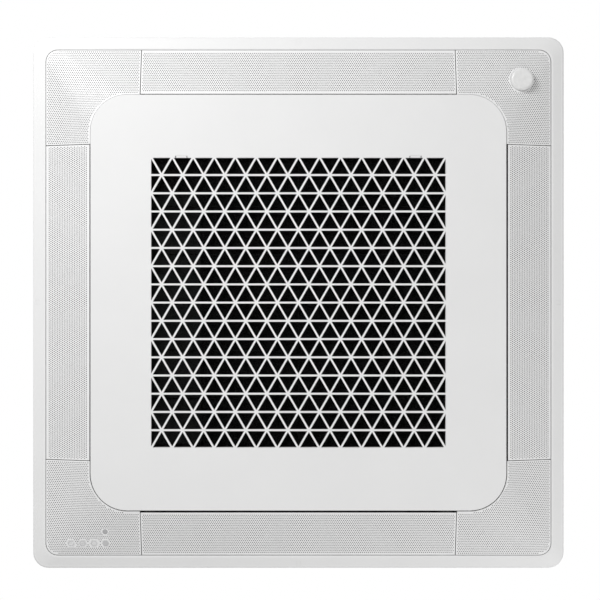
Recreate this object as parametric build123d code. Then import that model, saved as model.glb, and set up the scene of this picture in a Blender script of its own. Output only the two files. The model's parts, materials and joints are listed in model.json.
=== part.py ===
from build123d import *
from math import atan2, cos, degrees, radians, sin, sqrt
import os

# Ceiling cassette air conditioner, in millimetres, installed way up with its face down.
# Heights are measured from the underside of the hanger ears, where z = 0.
# Cutting shapes run 1 or 2 mm past what they cut, and joined shapes sink 0.5 to 1 mm into each other.
# The grille hinges on the +Y side, its latches are on the -Y side.

# ---- how it hangs ----
hanger_drop = 110.0  # hanger ears above the finished ceiling
body_lift = 16.0  # underside of the body above the finished ceiling
hanger_x_inset = 30.0  # hanger rods inside the body's sides
hanger_y_inset = 65.0
slot_width = 12.0
slot_length = 30.0
ear_thickness = 2.5
ear_reach = 52.0
bracket_drop = 60.0
bracket_width = 116.0
bracket_offset = 6.0  # bracket's middle past its slot
ear_inset = 8.0
ear_corner = 10.0
web_inset = 12.0
bracket_screw_inset = 14.0

# ---- panel ----
panel_side = 950.0
panel_corner = 28.0
panel_depth = 37.0  # finished ceiling to the face of the grille
flange_edge = 8.3
flange_round = 4.0
flange_fall = 4.2  # extra depth of the border at its inner lip
border_lip = 3.5
border_width = 23.5
opening_corner = 22.0
opening_wall = 9.0  # straight depth of the opening's wall above the lip
frame_wall = 3.0
deck_thickness = 3.0
deck_flat = 8.0  # deck outside the outlet slots
gasket_thickness = 4.0
well_wall = 2.5
well_gap = 2.7  # outlet side of the well wall inside the grille's edge
well_start = 6.0  # lower edge of the well wall above the grille's face
return_inset = 17.5
return_corner = 40.0
slot_inset = 4.0  # deck's outlet slots shorter than the ducts at each end
screw_boss_radius = 9.0
screw_boss_height = 2.0
screw_room = 1.5
mark_gap = 7.0  # two shallow moulding marks in the middle of each side
mark_width = 1.0
mark_length = 9.0
mark_inset = 4.5
mark_depth = 0.5

# ---- grille ----
grille_inset = 83.8  # grille's edge inside the opening
grille_corner = 65.0
grille_thickness = 2.5
grille_round = 1.2
triangle_side = 37.2
lattice_columns = 14
lattice_rows = 16
bar_width = 3.3
lattice_depth = 4.0
window_corner = 4.5
rim_height = 9.0
rim_width = 3.0
rib_inset = 27.0
rib_height = 6.0
rib_width = 2.0
rib_corner = 45.0
hinge_reach = 6.3  # hinge axis outside the grille's edge
hinge_height = 10.5
pin_radius = 1.2
eye_radius = 3.0
neck_radius = 13.0  # inside of the curved arms, which pass round the corner covers' edges
neck_wall = 3.0
neck_clear = 1.0
neck_foot = 20.0
foot_height = 2.5
running_gap = 0.05
lug_width = 8.0
knuckle_width = 4.0
knuckle_gap = 0.5
motor_clear = 3.5  # hinge arms to the louvre motor beside them

# ---- latches ----
latch_spread = 414.0
latch_width = 16.0
latch_thickness = 3.5
slider_gap = 2.0  # grille's back to the latch
notch_depth = 3.5
notch_width = 21.2
tab_width = 18.4
tab_gap = 0.3
tab_recess = 0.2
tongue_inset = 2.0
tongue_reach = 9.0
riser_reach = 6.0
tongue_thickness = 3.0
tongue_rise = 5.6
keeper_depth = 5.5
keeper_gap = 0.3
keeper_side = 4.0  # ledge wider than the tongue on each side
keeper_thickness = 2.5
rail_inset_y = 32.7  # latch rails' outer ends inside the grille's edge
rail_end = 272.0
rail_wall = 2.0
strap_place = 3 / 7  # along the rails
strap_width = 8.0
strap_sheet = 1.5
spring_sheet = 0.5
spring_width = 6.0
spring_foot = 1.2
spring_bow = 3.6

# ---- filter, carried on the grille's back ----
filter_border = 12.0
filter_height = 6.0
filter_rim = 12.0
filter_corner = 6.0
filter_bars = 5
filter_bar_width = 2.4
filter_bar_height = 3.0
mesh_thickness = 0.6
hook_places = (-150.0, 150.0)
hook_width = 16.0
hook_wall = 2.5
hook_reach = 3.0
hook_sheet = 2.0

# ---- louvres and corner covers ----
louvre_gap = 2.4  # grille edge to louvre
cover_gap = 0.5  # grille edge to corner cover
outer_gap = 1.0  # louvre to border
face_step = 2.6  # louvre's inner edge above the grille's face
skin = 3.0
face_margin = 20.0  # the sloping face is worked out this far past its edges
corner_length = 172.1  # opening's side to the louvre's end
end_gap = 1.2
axis_inset = 20.0
axis_rise = 13.0
shaft_radius = 3.0
stub_radius = 2.0
arm_thickness = 3.0
arm_spread = 118.0
arm_end = 21.0  # last arm in from the louvre's end
arm_tip = 7.0
arm_low = 3.0
arm_high = 5.0
arm_head = (5.0, 7.0)  # the arm's top, inward and outward of the axis
rail_inset = 4.0
inner_rail = 4.0
outer_rail = 3.0
outer_rail_inset = 9.0
rail_width = 2.0
shaft_end_gap = 0.3
wall_clear = 1.6  # louvre's end to the duct's end wall
motor_radius = 12.0
motor_length = 16.0
motor_lift = 8.1
motor_inset = 4.0
motor_ear = 5.0
motor_sheet = 1.5
bush_radius = 4.0
bush_proud = 1.5

# ---- indicator corner and sensor corner ----
icon_inset_x = 46.7  # places in the corners, inside the opening's sides
icon_pitch = 20.5
icon_count = 4
icon_inset_y = 22.5
icon_width = 14.5
icon_gap = 0.15
receiver_inset_x = 108.1
receiver_inset_y = 44.3
receiver_radius = 4.5
board_level = 8.0  # board below the finished ceiling
board_thickness = 1.6
board_side = 10.0
indicator_board_insets = (62.3, 11.5)
board_post_insets = ((63.5, 58.5), (106.5, 53.5))
post_radius = 3.0
dome_inset_x = 54.7
dome_inset_y = 55.5
dome_radius = 20.25
dome_round = 5.0
dome_proud = 7.0
dome_gap = 0.3
collar_wall = 2.4
collar_height = 5.0

# ---- body ----
body_inset = 55.0  # body's sides inside the panel's
body_corner_cut = 130.0
body_height = 288.0
sheet = 1.2
flange_width = 12.0
gusset_cut = 156.0
liner_thickness = 10.0
fit_gap = 0.3
bead_inset = 165.0  # stiffening beads on the casing's top
bead_lengths = (200.0, 250.0)
bead_width = 26.0
bead_rise = 3.0
stamp_outer = 118.0
stamp_inner = 96.0
panel_bead_length = 430.0  # flat raised panels on the casing's sides
panel_bead_height = 150.0
panel_bead_level = 150.0
panel_bead_rise = 1.5
panel_bead_corner = 12.0
knockout_radius = 42.0
knockout_wall = 3.0
liner_hole = 112.0
port_room = 4.0
pan_height = 44.0
pan_lip = 78.0  # pan's opening inside the coil's outer side
outlet_step = 4.1  # outlet slot's inner side inside the louvre's
outlet_width = 40.0
outlet_end = 19.4  # outlet slot's end inside the louvre's
outlet_corner = 15.0
channel_floor = 26.0
channel_clear = 7.0
pan_corner = 30.0
pad_place = 90.0
pad_width = 20.0
pad_inset = 8.0
pan_screw_depth = 16.0

# ---- heat exchanger ----
coil_inset = 80.0  # coil inside the body's sides
coil_depth = 45.0
coil_corner = 90.0
coil_base = 30.0
coil_height = 232.0
coil_open_x = 120.0  # the coil stops this far from its missing corner
coil_open_y = 198.0
end_plate = 1.5
plate_reach = 4.0
fin_pitch = 6.0
fin_tip = 3.8  # depth of the pleated sheet's folds, which sets its thickness
bend_radius = 9.0
first_bend = 20.0
tube_radius = 3.5
bend_rows = 7
bend_pitch = 30.0

# ---- air path ----
bell_plate = 2.5
bell_sheet = 2.5
bell_lap = 9.5  # bell mouth's deck over the pan's opening
bell_corner = 28.0
throat_radius = 165.0
bell_radius = 50.0
fan_radius = 240.0
fan_gap = 4.5  # shroud's lip outside the bell mouth
fan_overlap = 8.0
shroud_sheet = 2.5
shroud_bend = 35.0
shroud_turn = 75.0
fan_top = 208.0
hub_plate = 3.0
cone_top = 112.0
cone_base = 84.0
cone_sheet_inset = 2.0
hub_level = 138.0
boss_radius = 14.0
boss_base = 126.0
boss_top = 150.0
shaft_end = 114.0
fan_shaft = 5.0
shaft_depth = 18.0  # shaft inside the motor
blade_count = 7
blade_inner = 150.0
blade_edge = 1.7
blade_belly = 6.5
blade_sweep = 33.0
blade_bow = 0.42  # how early along its sweep a blade's middle lies
blade_tip_gap = 2.0
blade_nose = 60.0  # height of the blade's inner edge
blade_lead = 12.0
nut_width = 17.0
nut_height = 8.0
motor_gap = 2.0
fan_motor_radius = 62.0
fan_motor_height = 80.0
fan_motor_chamfer = 5.0
motor_arm_half = 10.0
motor_ear_circle = 88.0
motor_ear_radius = 13.0
motor_ear_thickness = 6.0
stud_radius = 4.0
stud_nut = 7.5
stud_nut_height = 5.0
bracket_sheet = 2.0
bracket_radius = 108.0
bracket_hole = 50.0
grommet_wall = 3.0
grommet_flange = 2.0

# ---- pipes and drain, on the +X side ----
gas_radius = 7.94
gas_bore = 6.94
liquid_radius = 4.76
liquid_bore = 3.96
gas_step = 34.0  # places past the coil's end
gas_level = 150.0
liquid_step = 74.0
liquid_level = 195.0
drain_step = 120.0
drain_level = 205.0
spigot_radius = 16.0
spigot_bore = 12.5
pipe_reach = 50.0
header_levels = (50.0, 245.0)
liquid_inset = 7.0
liquid_start = 110.0
liquid_bend = 20.0
pipe_bore_depth = 40.0
cover_sheet = 1.5
cover_lap = (3.0, 10.0)  # pipe cover over its opening, along Y and Z
spigot_inner = 18.0
spigot_outer = 45.0
spigot_flange = 5.0
hose_bend = 26.0
flare_gas = 26.0
flare_liquid = 17.0
flare_length = 20.0
union_gap = 6.0
port_steps = (8.0, 143.0)
port_level = (125.0, 238.0)
pump_inset_x = 120.0  # pump inside the body's sides
pump_inset_y = 90.0
pump_radius = 31.0
pump_height = 66.0
pump_foot = 4.0
foot_inset = 6.0
foot_radius = 4.0
pump_motor_x = 12.0
pump_motor_y = 8.0
pump_motor_radius = 16.0
pump_motor_height = 30.0
spout_height = 8.0
spout_step = 2.0
arm_level = 44.0
arm_half = 7.0
arm_sheet = 4.0
basin_radius = 44.0
basin_floor = 20.0
hose_radius = 13.0
spout_step_x = 22.0  # places from the pump's middle
spout_step_y = -14.0
float_step_x = 36.0
float_step_y = -30.0
float_radius = 12.0
float_height = 14.0
float_room = 4.0
stem_radius = 3.0
stem_foot = 2.0
plug_step_x = -24.0
plug_step_y = -21.0
plug_radius = 9.0
plug_head = 3.0
plug_rise = 2.0

# ---- control box, hung under the bell mouth plate ----
box_inset_x = (9.5, 96.5)  # inside the deck's sides
box_inset_y = (76.5, 21.5)
box_drop = 18.0  # its open side below the finished ceiling
box_corner = 6.0
board_drop = 12.0
board_inset = 6.0
post_inset = 13.0
lid_lap = 1.0

# ---- screws ----
screw_radius = 2.5
screw_head = 5.0
screw_head_height = 3.5
panel_screw_out = 14.3  # past the grille's edge
panel_screw_along = 26.6  # past the louvre's end
panel_screw_length = 20.0
small_screw = 2.0
small_head = 4.5
small_head_height = 2.5
deck_screw_inset = 12.0

# ---- levels and radii that follow from the sizes above ----
ceiling = -hanger_drop
front = ceiling - panel_depth
base = ceiling + body_lift
deck_top = base - gasket_thickness
deck_bottom = deck_top - deck_thickness
border_face = ceiling - flange_edge - flange_fall
opening_half = panel_side / 2 - border_width
grille_half = opening_half - grille_inset
louvre_inner = grille_half + louvre_gap
louvre_outer = opening_half - outer_gap
louvre_half = opening_half - corner_length
outlet_inner = louvre_inner - outlet_step
outlet_length = 2 * (louvre_half - outlet_end)
panel_screw_x = grille_half + panel_screw_out
panel_screw_y = louvre_half + panel_screw_along
rail_y = (rail_inset_y - grille_half, -rail_end)
strap_y = rail_y[0] + strap_place * (rail_y[1] - rail_y[0])
icon_x = icon_inset_x - opening_half
icon_y = opening_half - icon_inset_y
receiver_x = receiver_inset_x - opening_half
receiver_y = opening_half - receiver_inset_y
board_y = [opening_half - inset for inset in indicator_board_insets]
board_posts = [(across - opening_half, opening_half - along) for across, along in board_post_insets]
dome_x = opening_half - dome_inset_x
dome_y = dome_inset_y - opening_half
cover_edge = louvre_half + end_gap
face_inner = front + face_step
face_slope = (border_face - face_inner) / (opening_half - louvre_inner)
corner_slope = (grille_corner + louvre_gap - opening_corner) / (opening_half - louvre_inner)
wall_inner = louvre_half + wall_clear
wall_outer = wall_inner + frame_wall
axis_radius = louvre_inner + axis_inset
axis_level = face_inner + axis_rise
well_outer = grille_half - well_gap
well_inner = well_outer - well_wall
pocket_top_half = outlet_inner + outlet_width
pocket_top_corner = opening_corner + deck_flat
deck_half = pocket_top_half + deck_flat
return_half = well_inner - return_inset
window_x = lattice_columns * triangle_side / 2
row_height = triangle_side * sqrt(3) / 2
window_y = (lattice_rows * row_height - bar_width) / 2
back = front + grille_thickness
slider_low = back + slider_gap
slider_top = slider_low + latch_thickness
hinge_x = wall_outer + motor_length + motor_clear + knuckle_width + knuckle_gap + lug_width / 2
hinge_y = grille_half + hinge_reach
hinge_level = front + hinge_height
neck_outer = neck_radius + neck_wall
body_side = panel_side - 2 * body_inset
casing_half = body_side / 2
hanger_x = body_side - 2 * hanger_x_inset
hanger_y = body_side - 2 * hanger_y_inset
bead_place = casing_half - bead_inset
casing_plane = (body_side - body_corner_cut) / sqrt(2)
inner_half = casing_half - sheet
inner_plane = casing_plane - sheet
filter_x = window_x + filter_border
filter_y = window_y + filter_border
filter_base = front + rim_height
filter_top = filter_base + filter_height
pan_top = base + pan_height
pump_base = base + basin_floor + pump_foot
coil_half = casing_half - coil_inset
coil_end_x = coil_half - coil_open_x
coil_end_y = coil_half - coil_open_y
pan_opening = 2 * (coil_half - pan_lip)
bell_side = pan_opening + 2 * bell_lap
gas_y = coil_end_y + gas_step
liquid_y = coil_end_y + liquid_step
drain_y = coil_end_y + drain_step
port_y = [coil_end_y + step for step in port_steps]
pump_x = casing_half - pump_inset_x
pump_y = casing_half - pump_inset_y
spout_x = pump_x + spout_step_x
spout_y = pump_y + spout_step_y
float_x = pump_x + float_step_x
float_y = pump_y + float_step_y
plug_x = pump_x + plug_step_x
plug_y = pump_y + plug_step_y
box_x = [inset - bell_side / 2 for inset in box_inset_x]
box_y = (box_inset_y[0] - bell_side / 2, bell_side / 2 - box_inset_y[1])
coil_inner = coil_half - coil_depth


def block(x0, x1, y0, y1, z0, z1):
    """A box between two corners."""
    return Pos(x0, y0, z0) * Box(x1 - x0, y1 - y0, z1 - z0, align=(Align.MIN, Align.MIN, Align.MIN))


def rod(x, y, z0, z1, radius):
    """An upright cylinder."""
    return Pos(x, y, z0) * Cylinder(radius, z1 - z0, align=(Align.CENTER, Align.CENTER, Align.MIN))


def rod_x(x0, x1, y, z, radius):
    """A cylinder along X."""
    turned = Rot(0, 90, 0) * Cylinder(radius, x1 - x0, align=(Align.CENTER, Align.CENTER, Align.MIN))
    return Pos(x0, y, z) * turned


def slab(half, corner, z0, z1):
    """A rounded square plate."""
    return Pos(0, 0, z0) * extrude(RectangleRounded(2 * half, 2 * half, corner), z1 - z0)


def frustum(half0, corner0, z0, half1, corner1, z1):
    """A rounded square that tapers from one level to another."""
    low = Pos(0, 0, z0) * RectangleRounded(2 * half0, 2 * half0, corner0)
    high = Pos(0, 0, z1) * RectangleRounded(2 * half1, 2 * half1, corner1)
    return loft([low, high], ruled=True)


def octagon(half, plane, z0, z1):
    """A square plate with cut corners, whose corner faces lie at the distance plane from the centre."""
    a = half
    b = plane * sqrt(2) - half
    points = [(a, b), (b, a), (-b, a), (-a, b), (-a, -b), (-b, -a), (b, -a), (a, -b)]
    return Pos(0, 0, z0) * extrude(make_face(Polyline(*points, close=True)), z1 - z0)


def yz_plate(points, x0, x1):
    """A plate of the given outline in Y and Z, between two places on X."""
    outline = make_face(Polyline(*[(x0, y, z) for y, z in points], close=True))
    return extrude(outline, x1 - x0, dir=(1, 0, 0))


def face_level(radius):
    """Height of the sloping face at a distance from the centre."""
    return face_inner + (radius - louvre_inner) * face_slope


def face_corner(radius):
    return grille_corner + louvre_gap - (radius - louvre_inner) * corner_slope


def behind_face(depth):
    """The room above the sloping face, moved up by depth."""
    low = louvre_inner - face_margin
    high = opening_half + face_margin
    solid = frustum(low, face_corner(low), face_level(low), high, face_corner(high), face_level(high))
    return Pos(0, 0, depth) * (solid + slab(high, face_corner(high), face_level(high), deck_top + skin))


def quarter_turns(make):
    """Four copies of a shape about the vertical axis."""
    return [Rot(0, 0, 90 * turn) * make for turn in range(4)]


def group(shapes):
    """Separate solids in one node."""
    solids = []
    for shape in shapes:
        solids.extend(shape.solids())
    return Compound(children=solids)


face_room = behind_face(0)
face_skin = face_room - behind_face(skin)
seat_room = behind_face(skin + fit_gap)


# ---------------------------------------------------------------- panel frame
def border():
    """The flange against the ceiling, with its lip round the opening."""
    plate = slab(panel_side / 2, panel_corner, ceiling - flange_edge, ceiling)
    plate = fillet(plate.faces().sort_by(Axis.Z)[0].edges(), flange_round)
    outer = panel_side / 2 - flange_round - 0.5
    inner = opening_half + border_lip
    fall = frustum(inner, opening_corner + border_lip, border_face,
                   outer, panel_corner - flange_round, ceiling - flange_edge)
    return plate + fall


def pocket():
    """The room for louvres, ducts and corner wells, up to the underside of the deck."""
    top = border_face + opening_wall - flange_fall
    straight = slab(opening_half, opening_corner, border_face - 1, top)
    return straight + frustum(opening_half, opening_corner, top,
                              pocket_top_half, pocket_top_corner, deck_bottom)


def pocket_shell():
    """The pocket's outside, one wall larger."""
    top = border_face + opening_wall - flange_fall
    run = opening_half - pocket_top_half
    rise = deck_bottom - top
    offset = frame_wall * sqrt(run ** 2 + rise ** 2) / rise
    sloped = frustum(opening_half + offset, opening_corner + offset, top,
                     deck_half, pocket_top_corner, deck_bottom)
    return sloped + slab(deck_half, pocket_top_corner, deck_bottom, deck_top)


def duct_walls():
    """Both end walls of each outlet duct."""
    wall = block(wall_inner, wall_outer, well_outer + fit_gap, opening_half, front, deck_top)
    pair = wall + mirror(wall, Plane.YZ)
    bore = rod_x(wall_inner - 1, wall_outer + 1, axis_radius, axis_level, shaft_radius + fit_gap)
    seat = rod_x(-wall_outer - 1, -wall_inner + 1, axis_radius, axis_level, bush_radius)
    return pair - bore - seat


def hinge_lugs():
    """Arms from the deck that carry the grille's hinge pins."""
    lugs = []
    for x in (-hinge_x, hinge_x):
        low, high = x - lug_width / 2, x + lug_width / 2
        arm = block(low, high, hinge_y - eye_radius, hinge_y + eye_radius, hinge_level, deck_bottom)
        eye = rod_x(low, high, hinge_y, hinge_level, eye_radius)
        lugs.append(arm + eye - rod_x(low - 1, high + 1, hinge_y, hinge_level, pin_radius + running_gap))
    return lugs


def neck_slots():
    """Slots in the well's wall for the grille's curved arms."""
    half = lug_width / 2 + knuckle_gap + knuckle_width + neck_clear
    low = hinge_y - neck_outer - neck_clear
    top = hinge_level + neck_outer + neck_clear
    return [block(x - half, x + half, low, well_outer + 1, front, top) for x in (-hinge_x, hinge_x)]


def latch_places():
    return (-latch_spread / 2, latch_spread / 2)


def keepers():
    """Ledges that the latch tongues lie over."""
    level = slider_top + tongue_rise - tongue_thickness - keeper_gap
    half = latch_width / 2 + keeper_side
    edge = -well_inner + keeper_depth
    return [block(x - half, x + half, -well_inner - 1, edge, level - keeper_thickness, level)
            for x in latch_places()]


def indicator_posts():
    """Posts under the deck that carry the indicator board."""
    bottom = ceiling - board_level + board_thickness
    return [rod(x, y, bottom, deck_bottom + 0.5, post_radius) for x, y in board_posts]


def outlet_slots(low, high):
    """The four openings in the deck over the outlet ducts."""
    end = wall_inner - slot_inset
    return quarter_turns(block(-end, end, outlet_inner, pocket_top_half, low, high))


def border_marks():
    """Two shallow moulding marks in the middle of each side of the border."""
    end = panel_side / 2 - mark_inset
    raised = Pos(0, 0, mark_depth) * border()
    marks = []
    for x in (-mark_gap / 2, mark_gap / 2):
        low = x - mark_width / 2
        groove = block(low, low + mark_width, end - mark_length, end, border_face - 1, ceiling - 1)
        marks.extend(quarter_turns(groove - raised))
    return marks


def panel_frame():
    shell = border() + pocket_shell() - pocket()
    duct_room = pocket() & seat_room
    for wall in quarter_turns(duct_walls()):
        shell += wall & duct_room
    shell -= slab(return_half, return_corner, deck_bottom - 1, deck_top + 1)
    low = deck_bottom - screw_boss_height
    for boss in quarter_turns(rod(panel_screw_x, panel_screw_y, low, deck_bottom, screw_boss_radius)):
        shell += boss
    for piece in hinge_lugs() + indicator_posts():
        shell += piece
    hole = rod(panel_screw_x, panel_screw_y, low - 1, deck_top + 1, screw_radius + fit_gap)
    cuts = outlet_slots(deck_bottom - 1, deck_top + 1) + quarter_turns(hole)
    for cut in cuts + border_marks():
        shell -= cut
    return shell


def return_well():
    """The wall round the intake, up to the deck's underside."""
    wall = slab(well_outer, grille_corner - well_gap, front + well_start, deck_bottom)
    wall -= slab(well_inner, grille_corner - well_gap - well_wall, front, deck_bottom + 1)
    for ledge in keepers():
        wall += ledge
    for slot in neck_slots():
        wall -= slot
    return wall


def panel_gasket():
    """Foam between the deck and the body."""
    foam = slab(deck_half, pocket_top_corner, deck_top, base)
    foam -= slab(return_half, return_corner, deck_top - 1, base + 1)
    hole = rod(panel_screw_x, panel_screw_y, deck_top - 1, base + 1, screw_radius + screw_room)
    for cut in outlet_slots(deck_top - 1, base + 1) + quarter_turns(hole):
        foam -= cut
    return foam


def panel_screws():
    top = deck_bottom - screw_boss_height
    screw = rod(panel_screw_x, panel_screw_y, top - screw_head_height, top, screw_head)
    screw += rod(panel_screw_x, panel_screw_y, top, top + panel_screw_length, screw_radius)
    return group(quarter_turns(screw))


# ---------------------------------------------------------------- louvres
def louvre_skin():
    """The skin of the louvre on the +Y side."""
    room = block(-louvre_half, louvre_half, louvre_inner, louvre_outer, front, ceiling)
    return face_skin & room


def louvre_arm(x):
    """An arm from the skin's back to the shaft."""
    toe = louvre_inner + rail_inset
    tip = louvre_outer - arm_tip
    top = axis_level + shaft_radius + 1
    points = [
        (toe, face_level(toe) + skin),
        (tip, face_level(tip) + skin),
        (tip, face_level(tip) + skin + arm_low),
        (axis_radius + arm_head[1], top),
        (axis_radius - arm_head[0], top),
        (toe, face_level(toe) + skin + arm_high),
    ]
    return yz_plate(points, x - arm_thickness / 2, x + arm_thickness / 2)


def louvre_rail(start, height):
    """A stiffening rail along the skin's back."""
    end = start + rail_width
    points = [
        (start, face_level(start) + skin),
        (end, face_level(end) + skin),
        (end, face_level(end) + skin + height),
        (start, face_level(start) + skin + height),
    ]
    return yz_plate(points, -louvre_half + rail_inset, louvre_half - rail_inset)


def louvre_carrier():
    """Shaft, arms and rails of the louvre on the +Y side; its motor is at +X."""
    last = louvre_half - arm_end
    shoulder = wall_outer - shaft_end_gap
    carrier = rod_x(-wall_outer - bush_proud - 0.5, shoulder, axis_radius, axis_level, shaft_radius)
    carrier += rod_x(shoulder, wall_outer + motor_length / 2, axis_radius, axis_level, stub_radius)
    for x in (-last, -arm_spread, 0, arm_spread, last):
        carrier += louvre_arm(x)
    carrier += louvre_rail(louvre_inner + rail_inset, inner_rail)
    return carrier + louvre_rail(louvre_outer - outer_rail_inset, outer_rail)


def louvre_motor():
    """A stepper motor with an offset output, on the outer side of the duct's end wall."""
    y = axis_radius - motor_inset
    z = axis_level + motor_lift
    can = rod_x(wall_outer, wall_outer + motor_length, y, z, motor_radius)
    reach = motor_radius + motor_ear
    ears = block(wall_outer, wall_outer + motor_sheet, y - reach, y + reach, z - motor_ear, z + motor_ear)
    bore = rod_x(wall_outer - 1, wall_outer + motor_length / 2 + 1, axis_radius, axis_level,
                 stub_radius + running_gap)
    return can + ears - bore


def louvre_bush():
    """A bush in the other end wall."""
    bush = rod_x(-wall_outer - bush_proud, -wall_inner, axis_radius, axis_level, bush_radius)
    return bush - rod_x(-wall_outer - 2, -wall_inner + 1, axis_radius, axis_level, shaft_radius + running_gap)


# ---------------------------------------------------------------- corner covers
def cover_blank():
    """The cover in the +X +Y corner."""
    ring = slab(louvre_outer, opening_corner - outer_gap, front, ceiling)
    ring -= slab(grille_half + cover_gap, grille_corner + cover_gap, front - 1, ceiling + 1)
    corner = block(cover_edge, opening_half, cover_edge, opening_half, front - 1, ceiling + 1)
    return face_skin & (ring & corner)


def corner_cover(turn):
    return Rot(0, 0, 90 * turn) * cover_blank()


def icon(x, gap, z0, z1):
    """A six-sided light guide."""
    outline = RegularPolygon(icon_width / 2 + gap, 6, rotation=0)
    return Pos(x, icon_y, z0) * extrude(outline, z1 - z0)


def icon_places():
    return [icon_x + icon_pitch * step for step in range(icon_count)]


def indicator_icons():
    """Light guides flush with the cover's face, up to the board."""
    top = ceiling - board_level
    guides = [icon(x, 0, front, top) & face_room for x in icon_places()]
    return group(guides)


def receiver_window():
    return rod(receiver_x, receiver_y, front, ceiling - board_level, receiver_radius) & face_room


def indicator_cover():
    cover = corner_cover(1)
    for x in icon_places():
        cover -= icon(x, icon_gap, front, ceiling)
    return cover - rod(receiver_x, receiver_y, front, ceiling, receiver_radius + icon_gap)


def indicator_board():
    level = ceiling - board_level
    return block(icon_x - board_side, receiver_x + board_side, *board_y, level, level + board_thickness)


def dome_level():
    return face_level(max(abs(dome_x), abs(dome_y)))


def sensor_cover():
    """Corner cover with a collar behind its round hole."""
    bore = dome_radius + dome_gap
    collar = rod(dome_x, dome_y, front, dome_level() + skin + collar_height, bore + collar_wall) & face_room
    cover = corner_cover(3) + collar
    return cover - rod(dome_x, dome_y, front - 1, ceiling, bore)


def sensor_dome():
    low = dome_level() - dome_proud
    dome = rod(dome_x, dome_y, low, dome_level() + skin + collar_height, dome_radius)
    return fillet(dome.faces().sort_by(Axis.Z)[0].edges(), dome_round)


# ---------------------------------------------------------------- grille
def lattice_cells():
    """Outlines of the triangular holes; those at the window's sides are half triangles."""
    height = row_height - 1.5 * bar_width
    half = height / sqrt(3)
    cells = []
    for row in range(lattice_rows):
        near = -window_y + row * row_height
        far = near + row_height - bar_width
        for place in range(-lattice_columns, lattice_columns + 1):
            points_near = (place + row) % 2 == 0
            foot, tip = (far, far - height) if points_near else (near, near + height)
            x = place * triangle_side / 2
            left = max(x - half, -window_x)
            right = min(x + half, window_x)
            corners = [(left, foot, front), (right, foot, front), (x, tip, front)]
            cells.append(Wire.make_polygon(corners, close=True))
    return cells


def lattice():
    """The bars across the window, as one face with its holes."""
    margin = 0.5
    edge = (Pos(0, 0, front) * Rectangle(2 * (window_x + margin), 2 * (window_y + margin))).wire()
    return extrude(Face(edge, lattice_cells()), lattice_depth, dir=(0, 0, 1))


def grille_plate():
    plate = slab(grille_half, grille_corner, front, back)
    plate = fillet(plate.faces().sort_by(Axis.Z)[0].edges(), grille_round)
    window = extrude(RectangleRounded(2 * window_x, 2 * window_y, window_corner), 3 * grille_thickness)
    return plate - Pos(0, 0, front - grille_thickness) * window


def latch_notches():
    """Notches in the window's edge for the latches' finger tabs."""
    half = notch_width / 2
    return [block(x - half, x + half, -window_y - notch_depth, -window_y, front - 1, filter_base)
            for x in latch_places()]


def grille_ribs():
    """Window rim and stiffening rib on the back, open where the latches pass."""
    outer = RectangleRounded(2 * (window_x + rim_width), 2 * (window_y + rim_width), window_corner + rim_width)
    rim = outer - RectangleRounded(2 * window_x, 2 * window_y, window_corner)
    ribs = Pos(0, 0, back - 0.5) * extrude(rim, filter_base - back + 0.5)
    place = grille_half - rib_inset
    ring = slab(place, rib_corner, back - 0.5, back + rib_height)
    ring -= slab(place - rib_width, rib_corner - rib_width, back - 1, back + rib_height + 1)
    ribs += ring
    half = notch_width / 2
    for x in latch_places():
        ribs -= block(x - half, x + half, -grille_half, -window_y + 1, back, back + 2 * rib_height)
    return ribs


def latch_rails():
    """Guides, pad and strap that hold each latch."""
    pad = latch_width / 2 - tongue_inset
    inner = latch_width / 2 + fit_gap
    outer = inner + rail_wall
    top = slider_top + fit_gap
    made = []
    for x in latch_places():
        made.append(block(x - pad, x + pad, *rail_y, back - 0.5, slider_low - fit_gap))
        made.append(block(x - outer, x - inner, *rail_y, back - 0.5, top + strap_sheet))
        made.append(block(x + inner, x + outer, *rail_y, back - 0.5, top + strap_sheet))
        made.append(block(x - outer, x + outer, strap_y, strap_y + strap_width, top, top + strap_sheet))
    return made


def filter_hooks():
    """Hooks at the sides of the filter."""
    half = hook_width / 2
    outer = filter_x + hook_reach
    top = filter_top + hook_sheet
    made = []
    for y in hook_places:
        post = block(outer - hook_wall, outer, y - half, y + half, back - 0.5, top)
        lip = block(filter_x - hook_reach, outer, y - half, y + half, filter_top + fit_gap, top)
        made.extend([post + lip, mirror(post + lip, Plane.YZ)])
    return made


def hinge_arms():
    """Curved arms seated on the grille's back, which pass round the corner covers' edges to the hinge pins."""
    half = neck_wall / 2
    made = []
    for x in (-hinge_x, hinge_x):
        for side in (-1, 1):
            near = x + side * (lug_width / 2 + knuckle_gap)
            far = near + side * knuckle_width
            low, high = min(near, far), max(near, far)
            ring = rod_x(low, high, hinge_y, hinge_level, neck_outer)
            ring -= rod_x(low - 1, high + 1, hinge_y, hinge_level, neck_radius)
            ring &= block(low, high, hinge_y - neck_outer, hinge_y + half, back, hinge_level + neck_outer)
            link = block(low, high, hinge_y - half, hinge_y + half, hinge_level, hinge_level + neck_radius + 1)
            foot = block(low, high, hinge_y - neck_radius - neck_foot, hinge_y - neck_radius,
                         back, back + foot_height)
            neck = ring + link + foot + rod_x(low, high, hinge_y, hinge_level, eye_radius)
            made.append(neck - rod_x(low - 1, high + 1, hinge_y, hinge_level, pin_radius))
    return group(made)


def intake_grille():
    grille = grille_plate() + lattice() + grille_ribs()
    for piece in latch_rails() + filter_hooks():
        grille += piece
    for notch in latch_notches():
        grille -= notch
    return grille


def hinge_pins():
    half = lug_width / 2 + knuckle_gap + knuckle_width
    return group([rod_x(x - half, x + half, hinge_y, hinge_level, pin_radius) for x in (-hinge_x, hinge_x)])


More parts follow.
